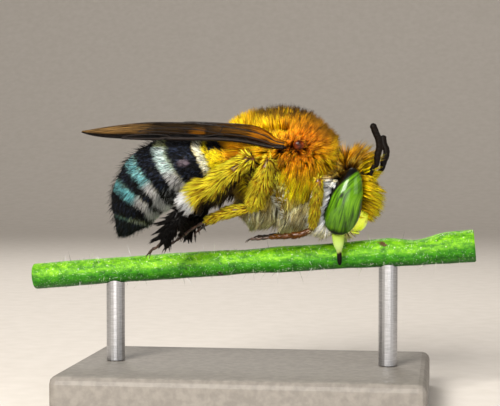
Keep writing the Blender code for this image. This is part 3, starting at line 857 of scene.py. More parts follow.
def thorax_coat(name, count, low, high):
    """One block of the thorax coat, between two stations along the body."""

    def thinner_below(points):
        inside = (points[:, 0] >= low) & (points[:, 0] < high)
        return inside * (0.45 + 0.55 * ramp(points[:, 2], 10.6, 11.4))

    roots, facing = roots_on(["thorax"], count, thinner_below)
    lie = thorax_lie(roots, facing)
    x, z = roots[:, 0], roots[:, 2]
    length = 1.0 - 0.25 * fade(x, -0.9, 0.3)
    length *= dice.uniform(0.85, 1.08, count)
    near = np.linalg.norm(np.abs(roots) - TEGULA, axis=1)
    length *= 0.66 + 0.34 * ramp(near, 0.35, 1.3)
    length *= under_wings(roots, roots + lie * length[:, None])
    strand = lie * length[:, None]
    keep = clear_of(hard_balls, roots, roots + strand * 0.55, roots + strand)
    keep &= length > SHORTEST_TUFT
    roots, facing, lie, length, x, z = (a[keep] for a in (roots, facing, lie, length, x, z))
    lie, tone = in_locks(roots, lie, length, 0.09, 0.10 + 0.15 * ramp(z, 9.2, 10.2))
    shaded = fade(z, 10.6, 11.4) * (dice.random(len(x)) < 0.28 - 0.14 * ramp(z, 9.2, 10.2))
    body = thorax_paint(roots) * (tone * (1.0 - 0.72 * shaded))[:, None]
    dark = (dice.random(len(roots)) < 0.7) * ramp(z, 11.84, 12.02) * ramp(x, -0.2, 0.4)
    length *= 1.0 + 0.10 * dark
    tips = repaint(body, ("#ffc830", 0.3), ("#0c0703", dark))
    middles = repaint(body, ("#1c1004", dark * 0.75))
    white = np.clip(body[:, 2:] * 1.6, 0.0, 1.0)
    chart = bake_chart(turn_share(roots[:, 1], roots[:, 2] - THORAX_AXIS), (x - low) / (high - low))
    # roots at about a fifth of the hair's colour, lighter for white hair: painted shade deep in the coat
    dyes_and_root_shade = (body * (0.22 + 0.45 * white), middles, tips)
    piece = grow_coat(name, roots, facing, lie, length, dyes_and_root_shade, chart, bow=0.1)
    fasten(piece, "thorax_coat")


thorax_coat("thorax_coat_rear", 3500, -1.2, 0.9)
thorax_coat("thorax_coat_middle", 3400, 0.9, 2.3)
thorax_coat("thorax_coat_front", 3500, 2.3, 4.6)


# ------------------------------------------------------------------ coat of the head
# Long golden hair on the crown and round the feelers, white hair down the cheeks behind the eyes, and a
# short pale fringe round the mouth. The shield of the face and the strips beside it stay almost bare.

FEELER_START = np.array((4.6, 0.0, 9.4))
hard_balls += [(head_place(0.42, 0.0, -0.79), (0.62, 0.86, 0.60), HEAD_LEAN + radians(5.0))]
for hand, way in SIDES.items():
    scape_line = node_line(f"antenna_scape_{hand}", FEELER_START, 4)
    hard_balls += [(end + (0.0, 0.55 * way, 0.0), (0.32, 0.75, 0.38), 0.0) for end in scape_line[[0, -1]]]
    hard_balls += [(head_place(0.10, 0.80 * way, 1.40), (0.22, 0.4, 0.22), HEAD_LEAN)]


HEAD_HALF_HEIGHT = 1.8


def head_coat(name, count):
    """The coat of the whole head capsule, thickest on the cheeks."""

    def thicker(points):
        forward, across, upward = head_frame(points).T
        side = ramp(np.abs(across), 0.5, 0.9)
        return 1.0 + 1.4 * ramp(-forward, 0.1, 0.4) * fade(upward, 0.7, 1.1) * side

    roots, facing = roots_on(["head"], count, thicker)
    forward, across, upward = head_frame(roots).T
    aside = np.abs(across)
    front = ramp(forward, 0.1, 0.5)
    crown = ramp(upward, 1.0, 1.5)
    cheek = ramp(-forward, 0.1, 0.5) * fade(upward, 0.5, 1.1)
    comb = np.stack([0.5 + 0.5 * front, 0.0 * forward, -0.7 + 1.0 * crown], axis=1)
    comb[:, 0] += 1.0 * crown - 1.3 * (1.0 - front) * (1.0 - crown)
    stand = 0.75 + 0.7 * crown + 1.3 * front * ramp(upward, -0.9, 0.2) + 0.45 * cheek
    lie = combed(facing, comb, stand)
    brow = ramp(upward, 0.70, 0.95) * fade(upward, 1.35, 1.6) * ramp(forward, -0.1, 0.3)
    length = 0.45 + 0.72 * crown + 0.42 * front * ramp(upward, -1.0, 0.0) + 0.22 * cheek
    length *= 1.0 - 0.45 * brow
    length += 0.15 * cheek * fade(upward, -1.1, -0.5)
    length *= dice.uniform(0.7, 1.15, count)
    bare = front * fade(upward, -0.40, -0.15) * ramp(aside, 0.35, 0.55)
    strip = front * ramp(aside, 0.72, 0.84) * fade(upward, 0.1, 0.5)
    throat = fade(upward, -1.2, -0.9) * ramp(forward, -0.55, -0.25) * (1.0 - front)
    keep = dice.random(count) > 0.95 * np.maximum(np.maximum(bare, strip), throat)
    strand = lie * length[:, None]
    keep &= clear_of(hard_balls, roots + strand * 0.5, roots + strand)
    roots, facing, lie, length, crown, front = (a[keep] for a in (roots, facing, lie, length, crown, front))
    lie, tone = in_locks(roots, lie, length, 0.10, 0.35)
    body = head_paint(roots) * tone[:, None]
    dark = (dice.random(len(roots)) < 0.2) * np.maximum(crown, front * 0.6)
    tips = repaint(body, ("#ffe448", 0.35), ("#1c140a", dark))
    middles = repaint(body, ("#3a2408", dark * 0.5))
    white = np.clip(body[:, 2:] * 2.0, 0.0, 1.0)
    forward, across, upward = head_frame(roots).T
    rise = (upward + HEAD_HALF_HEIGHT) / (2 * HEAD_HALF_HEIGHT)
    chart = bake_chart(turn_share(across, forward), rise)
    # roots darkened to about three quarters, lighter for white hair: painted shade deep in the coat
    dyes_and_root_shade = (body * (0.72 + 0.2 * white), middles, tips)
    piece = grow_coat(name, roots, facing, lie, length, dyes_and_root_shade, chart, spread=0.04, width=0.016, bow=0.06)
    fasten(piece, "head_coat")


head_coat("head_coat", 4700)


# ------------------------------------------------------------------ coat of the abdomen
# Short hair lying flat towards the tail: velvet black, and on the rear rim of each ring a dense band of
# scale-like blue-green hair. Longer loose white hair hangs at the ends of the bands under the belly.


def abdomen_coat(name, count, low, high):
    """One block of the abdomen's coat, between two shares of the way back."""

    def inside(points):
        share, _, _, _ = abdomen_place(points)
        return ((share >= low) & (share < high)) * 1.0

    roots, facing = roots_on(["abdomen"], count, inside)
    share, belly, heading, height = abdomen_place(roots)
    body = band_paint(roots, hair_dye("#0a0b0d", len(roots)))
    pale = ramp(body[:, 2], 0.08, 0.25)
    # about a fifth of the black hair is blue-grey: painted sheen on the black velvet
    body = repaint(body, ("#39435a", (1.0 - pale) * (body[:, 0] < 0.1) * (dice.random(count) < 0.22)))
    deep = ramp(belly, 0.82, 0.92) * ramp(share, 0.38, 0.44)
    whitish = pale[:, None] * 0.7 + dice.random((count, 1)) * 0.6 > 0.55
    body = blend(body, np.where(whitish, linear("#d4dcdc")[:3], linear("#10120e")[:3]), deep)
    golden = ramp(body[:, 0] - body[:, 2], 0.2, 0.5)
    stand = 0.22 + 0.20 * (1.0 - pale) * dice.random(count) + 0.35 * ramp(belly, 0.5, 0.9) + 0.2 * golden
    lie = combed(facing, heading, stand)
    length = 0.24 + 0.06 * pale + 0.26 * deep + 0.16 * ramp(share, 0.91, 0.98)
    length *= 1.0 + dice.uniform(-0.45, 0.25, count) * ramp(share, 0.90, 0.95)
    length += 0.30 * golden * fade(share, 0.14, 0.22)
    length *= dice.uniform(0.8, 1.15, count)
    under = ramp(belly, 0.7, 1.0) * ramp(share, 0.4, 0.5)
    lie = unit(lie + under[:, None] * np.array((0.1, 0.0, -0.7)))
    length *= under_wings(roots, roots + lie * length[:, None])
    # roots at four fifths of the hair's colour: painted shade deep in the coat
    dyes_and_root_shade = (body * 0.8, body, repaint(body, ("#ffffff", pale * 0.12)))
    chart = bake_chart(turn_share(roots[:, 1], height), (share - low) / (high - low))
    piece = grow_coat(name, roots, facing, lie, length, dyes_and_root_shade, chart, hairs=3, spread=0.05,
                      draw=0.35, width=0.016, wild=0.10, sink=0.02)
    fasten(piece, "abdomen_coat")


abdomen_coat("abdomen_coat_front", 11500, 0.0, 0.40)
abdomen_coat("abdomen_coat_rear", 16000, 0.40, 1.01)

# single black bristles stand out of the coat all over
BRISTLES = 3600
ABDOMEN_AXIS = 10.0
ABDOMEN_REACH = 6.2
bristles, facing = roots_on(["abdomen"], BRISTLES)
_, _, heading, _ = abdomen_place(bristles)
lie = combed(facing, heading, dice.uniform(0.6, 1.3, BRISTLES))
length = dice.uniform(0.2, 0.6, BRISTLES)
length *= under_wings(bristles, bristles + lie * length[:, None])
ink = hair_dye("#050404", BRISTLES)
along = (bristles[:, 0] + ABDOMEN_REACH) / ABDOMEN_REACH
chart = bake_chart(turn_share(bristles[:, 1], bristles[:, 2] - ABDOMEN_AXIS), along)
piece = grow_coat("abdomen_bristles", bristles, facing, lie, length, (ink, ink, ink), chart, hairs=1,
                  spread=0.0, draw=0.0, width=0.010, bow=0.06)
fasten(piece, "abdomen_coat")


# ------------------------------------------------------------------ coat of the legs
# Golden hair combed towards the claws, long and bushy on the hind shins, with a dark fringe below and
# black-brown on the hind legs' inner sides, both partly their own dark hair and partly painted shade between
# the legs. The long first joint of each hind foot is a jet-black brush.

LEG_HAIR = {  # tufts, length, stand, hairs in a tuft
    ("fore", "femur"): (300, 0.30, 0.6, 7),
    ("fore", "tibia"): (600, 0.36, 0.55, 7),
    ("fore", "basitarsus"): (300, 0.18, 0.4, 5),
    ("mid", "femur"): (420, 0.38, 0.6, 7),
    ("mid", "tibia"): (1000, 0.46, 0.55, 7),
    ("mid", "basitarsus"): (560, 0.40, 0.45, 7),
    ("hind", "femur"): (400, 0.38, 0.6, 7),
    ("hind", "tibia"): (1400, 0.66, 0.58, 7),
    ("hind", "basitarsus"): (1500, 0.54, 0.8, 6),
}


def leg_coat(name, leg, joint, hand, place_on_chart):
    """The hair of one leg joint, and its own strip of the bake map."""
    tufts, long_hair, stand, hairs = LEG_HAIR[leg, joint]
    roots, facing = roots_on([(leg, joint, hand)], tufts)
    share, nearest, heading = along_line(roots, leg_lines[leg, joint, hand])
    length = long_hair * dice.uniform(0.8, 1.15, tufts) * (0.65 + 0.35 * ramp(share, 0.0, 0.35))
    length *= 1.0 - 0.35 * ramp(share, 0.82, 0.95)
    body = leg_paint(roots, leg, joint)
    below = (roots - nearest) @ np.array((0.57, 0.0, -0.82))
    white = ramp(body[:, 2], 0.1, 0.5)
    fringe_and_shade = ramp(below, 0.15, 0.25) * (dice.random(tufts) < 0.8) * (1.0 - white)
    if leg == "fore":
        lie = combed(facing, heading + np.array((0.0, 0.0, -0.25)), stand)
    else:
        inner = ramp(-(roots - nearest)[:, 1] * np.sign(roots[:, 1]), 0.02, 0.12) * (leg == "hind")
        # the lower fringe, and the hind legs' inner sides, dark brown: partly their own dark hair, partly
        # painted shade between the legs
        body = repaint(body, ("#120a04", np.maximum(fringe_and_shade, inner) * 0.99))
        lie = combed(facing, heading, stand + 0.5 * fringe_and_shade)
    golden = ramp(body[:, 0], 0.1, 0.4) * (1.0 - white)
    # roots at half brightness and browner on golden hair: painted shade deep in the coat
    low = repaint(body * 0.5, ("#743a08", 0.5 * golden))
    tips = repaint(body, ("#ffdc3c", 0.45 * golden))
    out = unit(roots - nearest)
    side = unit(np.cross(heading, np.array((0.0, 1.0, 0.0))))
    turn = turn_share((out * side).sum(axis=1), out[:, 1])
    strip = (place_on_chart + 0.04 + 0.9 * turn) / len(LEG_HAIR)
    chart = np.stack([strip, 0.01 + 0.97 * share], axis=1)
    strand = np.where(dice.random((tufts, 1)) < 0.12, 0.4, dice.uniform(1.5, 2.3, (tufts, 1)))
    body, tips = body * strand, tips * strand
    if (leg, joint) == BLACK_BRUSH:
        lie, tone = in_locks(roots, lie, length, 0.05, 0.9)
        length *= 1.9 * tone - 0.9
    return grow_coat(name, roots, facing, lie, length, (low, body, tips), chart, hairs=hairs,
                     spread=0.035, draw=0.85, width=0.014, wild=0.06, sink=0.02)


for hand in SIDES:
    for slot, brush in (("leg_coat", False), ("dark_coat", True)):
        name = f"{slot}_{hand}"
        tufts = [
            leg_coat(name, leg, joint, hand, number)
            for number, (leg, joint) in enumerate(LEG_HAIR)
            if ((leg, joint) == BLACK_BRUSH) == brush
        ]
        fasten(joined(name, tufts), slot)


# ------------------------------------------------------------------ eyes
# Big glossy compound eyes: clear lens cuticle over green pigment, with dark olive streaks the long way and
# one dark spot, a black rear rim that widens at the top, and facets too fine to see but for their glitter.

EYE_TAPER = 0.26

lens_cuticle, tree, shader = new_material("compound_eye_cuticle", 0.3, Specular_IOR_Level=0.12,
                                          Coat_Weight=0.4, Coat_Roughness=0.05)
plan = node(tree, "UVMap", {"uv_map": "eye_plan"})
split = node(tree, "SeparateXYZ", Vector=plan)
warp = node(tree, "Mapping", Vector=plan, Scale=(9.0, 1.8, 1.0))
streaks = node(tree, "TexNoise", Vector=warp, Scale=1.6, Detail=5.0, Roughness=0.62, Distortion=0.5)
green = node(tree, "ValToRGB", Fac=streaks,
             stops=[(0.30, "#182c02"), (0.42, "#305204"), (0.54, "#4c7a05"), (0.74, "#6c980c")])
# the rim: distance across the eye (U) runs 0 at the rear edge to 1 at the front
rim = node(tree, "ValToRGB", Fac=split.outputs["X"],
           stops=[(0.10, "#030303"), (0.17, "#ffffff"), (0.90, "#ffffff"), (0.98, "#404040")])
ends = node(tree, "ValToRGB", Fac=split.outputs["Y"],
            stops=[(0.03, "#000000"), (0.09, "#c8cc84"), (0.5, "#ffffff"), (0.93, "#ffffff"),
                   (0.99, "#101010")])
# the dark spot, a little behind the middle
spot = node(tree, "Mapping", Vector=plan, Location=(-6.4, -8.9, 0.0), Scale=(17.0, 15.5, 0.0))
apart = node(tree, "VectorMath", {"operation": "LENGTH"}, Vector=spot)
pupil = node(tree, "ValToRGB", Fac=apart.outputs["Value"], stops=[(0.35, "#3c4438"), (1.0, "#ffffff")])
green = node(tree, "MixRGB", {"blend_type": "MULTIPLY"}, Color1=green, Color2=pupil, Fac=1.0)
edge = node(tree, "MixRGB", {"blend_type": "MULTIPLY"}, Color1=rim, Color2=ends, Fac=1.0)
node(tree, "MixRGB", {"blend_type": "MULTIPLY"}, Color1=green, Color2=edge, Fac=1.0,
     feeds=shader.inputs["Base Color"])
place = node(tree, "TexCoord").outputs["Object"]
facets = node(tree, "TexVoronoi", Vector=place, Scale=30000.0)
node(tree, "Bump", Height=facets, Strength=0.25, Distance=0.000004, feeds=shader.inputs["Normal"])


def add_plan(obj, name, across, up):
    """Gives a piece a UV map of this name from two values at each point."""
    corner = np.empty(len(obj.data.loops), np.int32)
    obj.data.loops.foreach_get("vertex_index", corner)
    layer = obj.data.uv_layers.get(name) or obj.data.uv_layers.new(name=name)
    layer.data.foreach_set("uv", np.stack([across, up], axis=1)[corner].astype(np.float32).ravel())


def set_ball(ball, spots, radii, lean, centre):
    """Squeezes a ball's points to its radii, leans it about Y and moves it to its centre."""
    turn = np.array(Matrix.Rotation(lean, 3, "Y"))
    put_points(ball, (spots * np.array(radii)) @ turn.T + np.array(centre))


for hand, way in SIDES.items():
    ball = lump(f"eye_{hand}_lens", columns=96, rows=64)
    spots = points_of(ball)
    plan_u = 0.5 + 0.5 * spots[:, 0] - 0.6 * np.maximum(spots[:, 2], 0.0) ** 2
    add_plan(ball, "eye_plan", plan_u, 0.5 + 0.5 * spots[:, 2])
    spots[:, 0] *= 1.0 - EYE_TAPER * spots[:, 2]
    centre = head_place(EYE_CENTRE[0], EYE_CENTRE[1] * way, EYE_CENTRE[2])
    set_ball(ball, spots, EYE_RADII, EYE_LEAN, centre)
    finish(ball, lens_cuticle, "eye", f"eye_{hand}")


# ------------------------------------------------------------------ simple eyes
# Three small domes of jet-black cuticle, set in the crown: one in front and one over each big eye. They are
# glassy, so each has a pinpoint glint.

jet = mottled("jet_black_cuticle", 0.12, 9000.0, 2.0, [(0.3, "#070606"), (0.7, "#1b1410")],
              Coat_Weight=1.0, Coat_Roughness=0.03)
OCELLI = {"right": (0.10, -0.70, 1.38), "left": (0.10, 0.70, 1.38), "middle": (0.62, 0.0, 1.22)}
OCELLUS_RADII = (0.12, 0.12, 0.12 * 0.9)
for hand, spot in OCELLI.items():
    dome = lump(f"simple_eye_{hand}", head_place(*spot), OCELLUS_RADII, HEAD_LEAN, 24, 16)
    finish(dome, jet, "eye")


# ------------------------------------------------------------------ shield and lip of the face
# The clypeus is a low dome of pale yellow-green cuticle with a raised rim, and the lip hangs under it. Both
# are hard, slightly waxy and pricked with fine pits.

# waxy cuticle: clouded yellow-green, with a soft shine broken by the pits
face_cuticle, tree, shader = new_material("face_plate_cuticle", 0.38, Coat_Weight=0.25, Coat_Roughness=0.2)
place = node(tree, "TexCoord").outputs["Object"]
cloud = node(tree, "TexNoise", Vector=place, Scale=2400.0, Detail=5.0)
node(tree, "ValToRGB", Fac=cloud,
     stops=[(0.30, "#c0d020"), (0.42, "#ecfc34"), (0.60, "#f8ff58"), (0.8, "#fcffa0")],
     feeds=shader.inputs["Base Color"])
pits = node(tree, "TexVoronoi", Vector=place, Scale=11000.0)
node(tree, "Bump", Height=pits, Strength=0.6, Distance=0.00002, feeds=shader.inputs["Normal"])


def rimmed_dome(name, centre, radii, lean, rim):
    """A plate shaped from a ball: squared a little, with a groove run round just inside its rim."""
    ball = lump(name, columns=48, rows=32)
    spots = points_of(ball)
    reach = np.linalg.norm(spots[:, 1:], axis=1)
    groove = 1.0 - rim * np.exp(-(((reach - 0.80) / 0.07) ** 2)) * (spots[:, 0] > 0)
    spots = np.sign(spots) * np.abs(spots) ** 0.75 * groove[:, None]
    set_ball(ball, spots, radii, lean, centre)
    return ball


SHIELD_CENTRE = head_place(0.41, 0.0, -0.79)
clypeus = rimmed_dome("clypeus_plate", SHIELD_CENTRE, (0.68, 0.88, 0.61), HEAD_LEAN + radians(5), 0.06)
finish(clypeus, face_cuticle, "face_plate", "clypeus")
labrum = rimmed_dome("labrum_flap", head_place(0.46, 0.0, -1.42), (0.42, 0.50, 0.07), HEAD_LEAN, 0.05)
finish(labrum, face_cuticle, "face_plate", "labrum")


# ------------------------------------------------------------------ jaws
# Each mandible is a tapering hook of pale ivory-green horn that bites the stem, its last third dark
# red-brown where the horn is hardest. It broadens again to a blunt cutting tip.

# jaw horn: half matt, with a wavering edge between its dark tip and the ivory
jaw_horn, tree, shader = new_material("jaw_horn", 0.5, Specular_IOR_Level=0.12)
place = node(tree, "TexCoord").outputs["Object"]
split = node(tree, "SeparateXYZ", Vector=place)
wavy = node(tree, "TexNoise", Vector=place, Scale=5000.0, Detail=3.0)
level = node(tree, "MapRange", Value=split.outputs["Z"], From_Min=0.0060, From_Max=0.0076)
blur = node(tree, "Math", {"operation": "MULTIPLY_ADD"})
blur.inputs[1].default_value = 0.12  # how far the dark tip's edge wavers
tree.links.new(wavy.outputs["Fac"], blur.inputs[0])
tree.links.new(level.outputs["Result"], blur.inputs[2])
node(tree, "ValToRGB", Fac=blur,
     stops=[(0.34, "#040100"), (0.46, "#140602"), (0.52, "#8c9850"), (0.60, "#a8c070"), (0.95, "#98b040")],
     feeds=shader.inputs["Base Color"])

JAW_GIRTH = (0.28, 0.27, 0.235, 0.195, 0.155, 0.12, 0.105, 0.11, 0.10, 0.05)
JAW_STEPS = 40
for hand in SIDES:
    line = node_line(f"mandible_{hand}", np.array((4.0, 0.0, 9.0)))
    line[-1] += (line[-2] - line[-1]) * 0.35
    girth = smooth_path(np.array(JAW_GIRTH)[:, None], JAW_STEPS)[:, 0]
    jaw = tube(f"mandible_{hand}_hook", smooth_path(line, JAW_STEPS), girth, sides=6, flat=0.62)
    finish(jaw, jaw_horn, "jaw", f"mandible_{hand}")


# ------------------------------------------------------------------ feelers
# An elbowed antenna: a long smooth scape, then a short pedicel and eleven bead-like joints, all black-brown
# cuticle, joined end to end at narrow waists.

# feeler cuticle: dull, with a grain too fine for a highlight to run along it
feeler_cuticle = mottled("feeler_cuticle", 0.55, 12000.0, 4.0, [(0.3, "#040201"), (0.7, "#140a04")],
                         relief=(0.4, 0.00001), Specular_IOR_Level=0.1)
SCAPE_STEPS = 20
FEELER_BEADS = 12
BEAD_STEPS = 6
for hand in SIDES:
    line = node_line(f"antenna_scape_{hand}", FEELER_START, 4)
    share = np.linspace(0.0, 1.0, SCAPE_STEPS)
    girth = 0.09 + 0.035 * np.sin(pi * share**0.8)
    scape = tube(f"scape_{hand}", smooth_path(line, SCAPE_STEPS), girth, sides=6)
    finish(scape, feeler_cuticle, "feeler", f"antenna_scape_{hand}")
    elbow = line[-1]
    line = node_line(f"antenna_flagellum_{hand}", elbow, 6)
    share = np.linspace(0.0, 1.0, FEELER_BEADS * BEAD_STEPS + 1)
    girth = 0.09 + 0.065 * ramp(share, 0.05, 0.35) - 0.09 * ramp(share, 0.93, 1.0) ** 2
    waist = np.abs(np.cos(pi * share * FEELER_BEADS)) ** 6
    path = smooth_path(np.vstack([elbow, line]), len(share))
    whip = tube(f"flagellum_{hand}", path, girth * (1.0 - 0.07 * waist), sides=6)
    finish(whip, feeler_cuticle, "feeler", f"antenna_flagellum_{hand}")


# ------------------------------------------------------------------ wings
# Two thin smoky membranes a side, folded back along the body with the stiff front edge outside and low.
# Raised brown veins divide each into cells. The film is amber near the root and in one cell, and the thick
# beaded edge vein is darkest.

# outline in the wing's own plan: along from the root, across from the front edge inwards, millimetres
FORE_EDGE = ((0.1, -0.08), (0.9, -0.12), (1.8, 0.04), (2.8, 0.12), (4.3, 0.10), (5.8, 0.08), (7.2, 0.02),
             (8.3, 0.0), (9.0, 0.05), (9.5, 0.18))
FORE_TRAIL = ((0.1, 0.30), (0.6, 0.45), (1.1, 0.85), (1.8, 1.10), (3.0, 1.14), (5.5, 1.12), (6.7, 1.04),
              (7.9, 0.78), (8.8, 0.50), (9.5, 0.24))
HIND_EDGE = ((1.5, 0.92), (2.8, 0.92), (4.2, 0.88), (5.6, 0.84), (6.6, 0.88))
HIND_TRAIL = ((1.5, 1.02), (2.1, 1.18), (3.2, 1.22), (4.7, 1.24), (5.3, 1.14), (6.6, 0.96))

# veins as (along in mm, share of the way across), and their half width
FORE_VEINS = (
    (0.080, ((0.2, 0.14), (1.5, 0.08), (3.5, 0.06), (5.6, 0.05))),
    (0.050, ((5.6, 0.03), (6.6, 0.02), (7.6, 0.03))),
    (0.045, ((0.1, 0.22), (1.5, 0.10), (3.5, 0.085), (5.3, 0.09))),
    (0.060, ((5.1, 0.06), (5.5, 0.07), (5.8, 0.06))),
    (0.034, ((5.3, 0.09), (5.7, 0.22), (6.5, 0.25), (7.2, 0.18), (7.6, 0.04))),
    (0.040, ((0.2, 0.40), (1.5, 0.34), (3.0, 0.40))),
    (0.034, ((3.0, 0.40), (3.5, 0.26), (4.3, 0.10))),
    (0.034, ((3.0, 0.40), (4.2, 0.60), (5.2, 0.68))),
    (0.036, ((0.2, 0.70), (1.6, 0.66), (3.2, 0.80), (4.4, 0.90))),
    (0.030, ((3.9, 0.20), (4.7, 0.36), (5.8, 0.46), (7.0, 0.44))),
    (0.028, ((5.4, 0.22), (5.5, 0.42))),
    (0.028, ((6.2, 0.25), (6.5, 0.44))),
    (0.028, ((4.7, 0.36), (4.9, 0.65))),
    (0.028, ((7.0, 0.44), (6.4, 0.62), (5.2, 0.68))),
    (0.028, ((3.2, 0.45), (3.1, 0.78))),
)
HIND_VEINS = (
    (0.036, ((1.6, 0.15), (3.0, 0.10), (5.0, 0.08), (6.4, 0.12))),
    (0.026, ((1.9, 0.45), (3.4, 0.50), (5.2, 0.60))),
    (0.024, ((3.4, 0.50), (3.8, 0.14))),
)


class Blade:
    """The curved sheet of one wing: where a place in its plan lies on the bee's body."""

    def __init__(self, way, edge, trail, drop):
        self.root, self.axes = wing_frame(way)
        self.edge = smooth_path(edge, 200)
        self.trail = smooth_path(trail, 200)
        self.drop = drop

    def place(self, along, across):
        """A point at so far along, and a share of the way from front edge to rear edge."""
        front = np.interp(along, self.edge[:, 0], self.edge[:, 1])
        rear = np.interp(along, self.trail[:, 0], self.trail[:, 1])
        side = front + (rear - front) * across
        lift = 0.12 * (side - 0.5) - self.drop
        lift = lift + 0.03 * np.sin(across * 3.0 * pi) * np.minimum(along / 3.0, 1.0)
        lift = lift + 0.05 * np.sin(along * 0.7)
        flat = np.stack([along, side, lift], axis=-1)
        return self.root + flat @ self.axes


FILM_THICKNESS = 0.03
SHEET_ROWS = 24


def wing_sheet(name, blade, low, high, columns):
    """The membrane: a grid bent onto the blade, then given its thickness."""
    bpy.ops.mesh.primitive_grid_add(x_subdivisions=columns, y_subdivisions=SHEET_ROWS, size=1.0)
    sheet = bpy.context.object
    sheet.name = name
    plan = points_of(sheet)[:, :2] + 0.5
    along = low + (high - low) * np.sin(plan[:, 0] * pi / 2)
    put_points(sheet, blade.place(along, plan[:, 1]))
    sheet.data.uv_layers[0].name = "wing_plan"
    add_plan(sheet, "wing_plan", along / 10.0, plan[:, 1])
    alone(sheet)
    bpy.ops.object.mode_set(mode="EDIT")
    bpy.ops.mesh.select_all(action="SELECT")
    bpy.ops.mesh.remove_doubles(threshold=0.002)
    bpy.ops.object.mode_set(mode="OBJECT")
    wall = sheet.modifiers.new("thickness", "SOLIDIFY")
    wall.thickness = FILM_THICKNESS
    wall.offset = 0.0
    bpy.ops.object.modifier_apply(modifier="thickness")
    return sheet


# wing membrane: smoky brown chitin film with a soft rippled sheen, tinted by its place in the plan
film, tree, shader = new_material("wing_membrane", 0.42, Alpha=0.92, Specular_IOR_Level=0.05)
plan = node(tree, "UVMap", {"uv_map": "wing_plan"})
split = node(tree, "SeparateXYZ", Vector=plan)
along_tint = node(tree, "ValToRGB", Fac=split.outputs["X"],
                  stops=[(0.0, "#d88c06"), (0.14, "#b87406"), (0.20, "#6c4806"), (0.36, "#342408"),
                         (0.62, "#2c200c"), (0.74, "#806438"), (0.95, "#8c7044")])
# one cell beyond the middle is clear amber
cell_along = node(tree, "ValToRGB", Fac=split.outputs["X"],
                  stops=[(0.380, "#000000"), (0.392, "#ffffff"), (0.43, "#ffffff"), (0.47, "#000000")])
cell_across = node(tree, "ValToRGB", Fac=split.outputs["Y"],
                   stops=[(0.30, "#000000"), (0.34, "#ffffff"), (0.64, "#c0c0c0"), (0.72, "#000000")])
cell = node(tree, "MixRGB", {"blend_type": "MULTIPLY"}, Color1=cell_along, Color2=cell_across, Fac=1.0)
along_tint = node(tree, "MixRGB", Fac=cell, Color1=along_tint, Color2=linear("#946008"))
cross_tint = node(tree, "ValToRGB", Fac=split.outputs["Y"],
                  stops=[(0.0, "#241e1c"), (0.26, "#2c2624"), (0.38, "#e0d8d0"), (0.75, "#ffffff"),
                         (1.0, "#a09078")])
tinted = node(tree, "MixRGB", {"blend_type": "MULTIPLY"}, Color1=along_tint, Color2=cross_tint, Fac=1.0)
stretch = node(tree, "Mapping", Vector=plan, Scale=(14.0, 34.0, 1.0))
ripple = node(tree, "TexNoise", Vector=stretch, Scale=1.0, Detail=5.0)
blotch = node(tree, "ValToRGB", Fac=ripple, stops=[(0.38, "#3c3634"), (0.60, "#f4ece4")])
node(tree, "MixRGB", {"blend_type": "MULTIPLY"}, Color1=tinted, Color2=blotch, Fac=1.0,
     feeds=shader.inputs["Base Color"])
node(tree, "Bump", Height=ripple, Strength=0.7, Distance=0.00004, feeds=shader.inputs["Normal"])

# vein: dark brown horn rods, slightly uneven
vein_horn = mottled("wing_vein_horn", 0.5, 6000.0, 3.0, [(0.35, "#060302"), (0.65, "#1a0e06")],
                    relief=(0.8, 0.00003), Specular_IOR_Level=0.15)


def wing_veins(name, blade, veins):
    """All the veins of one wing, joined: tapering rods half sunk in the membrane, the edge vein beaded."""
    rods = []
    for number, (half_width, route) in enumerate(veins):
        plan = smooth_path(route, 10 * len(route))
        girth = np.full(len(plan), half_width) * (1.0 + 0.12 * np.sin(np.arange(len(plan)) * 2.1))
        girth[-1] *= 0.6
        rods.append(tube(f"{name}_{number}", blade.place(plan[:, 0], plan[:, 1]), girth, sides=2))
    return joined(name, rods)


for hand, way in SIDES.items():
    for wing, edge, trail, veins, drop, columns in (
        ("forewing", FORE_EDGE, FORE_TRAIL, FORE_VEINS, 0.0, 140),
        ("hindwing", HIND_EDGE, HIND_TRAIL, HIND_VEINS, 0.06, 80),
    ):
        blade = Blade(way, edge, trail, drop)
        sheet = wing_sheet(f"{wing}_{hand}_membrane", blade, edge[0][0], edge[-1][0], columns)
        finish(sheet, film, "wing", f"{wing}_{hand}")
        net = wing_veins(f"{wing}_{hand}_veins", blade, veins)
        finish(net, vein_horn, "wing", f"{wing}_{hand}")


# ------------------------------------------------------------------ wing scales
# The tegula is a smooth bean-shaped shell of red-brown horn that caps the wing's hinge. It is sunk in the
# orange fur, and only its polished middle shows.

# polished horn: dark red-brown, clouded lighter, with a clear thin gloss
amber_shell = mottled(
    "amber_wing_scale", 0.3, 2600.0, 4.0, [(0.36, "#180600"), (0.5, "#581e00"), (0.66, "#a04800")],
    Coat_Weight=0.12, Coat_Roughness=0.05, Specular_IOR_Level=0.1,
)
SHELL_RADII = (0.25, 0.12, 0.21)
for hand, way in SIDES.items():
    low, high = (np.array(corner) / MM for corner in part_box(f"tegula_{hand}"))
    centre = (low + high) / 2 - np.array((0.0, 0.04 * way, 0.0))
    shell = lump(f"tegula_{hand}_shell", rows=28)
    spots = points_of(shell)
    spots *= 1.0 - 0.10 * np.exp(-(((spots[:, 2] + 0.25) / 0.16) ** 2))[:, None]
    put_points(shell, spots * SHELL_RADII + centre)
    finish(shell, amber_shell, "wing_scale", f"tegula_{hand}")


# ------------------------------------------------------------------ feet
# Beyond the long first joint, each foot has three bead-like joints, a longer last one and a pair of hooked
# claws, all thin red-brown horn.

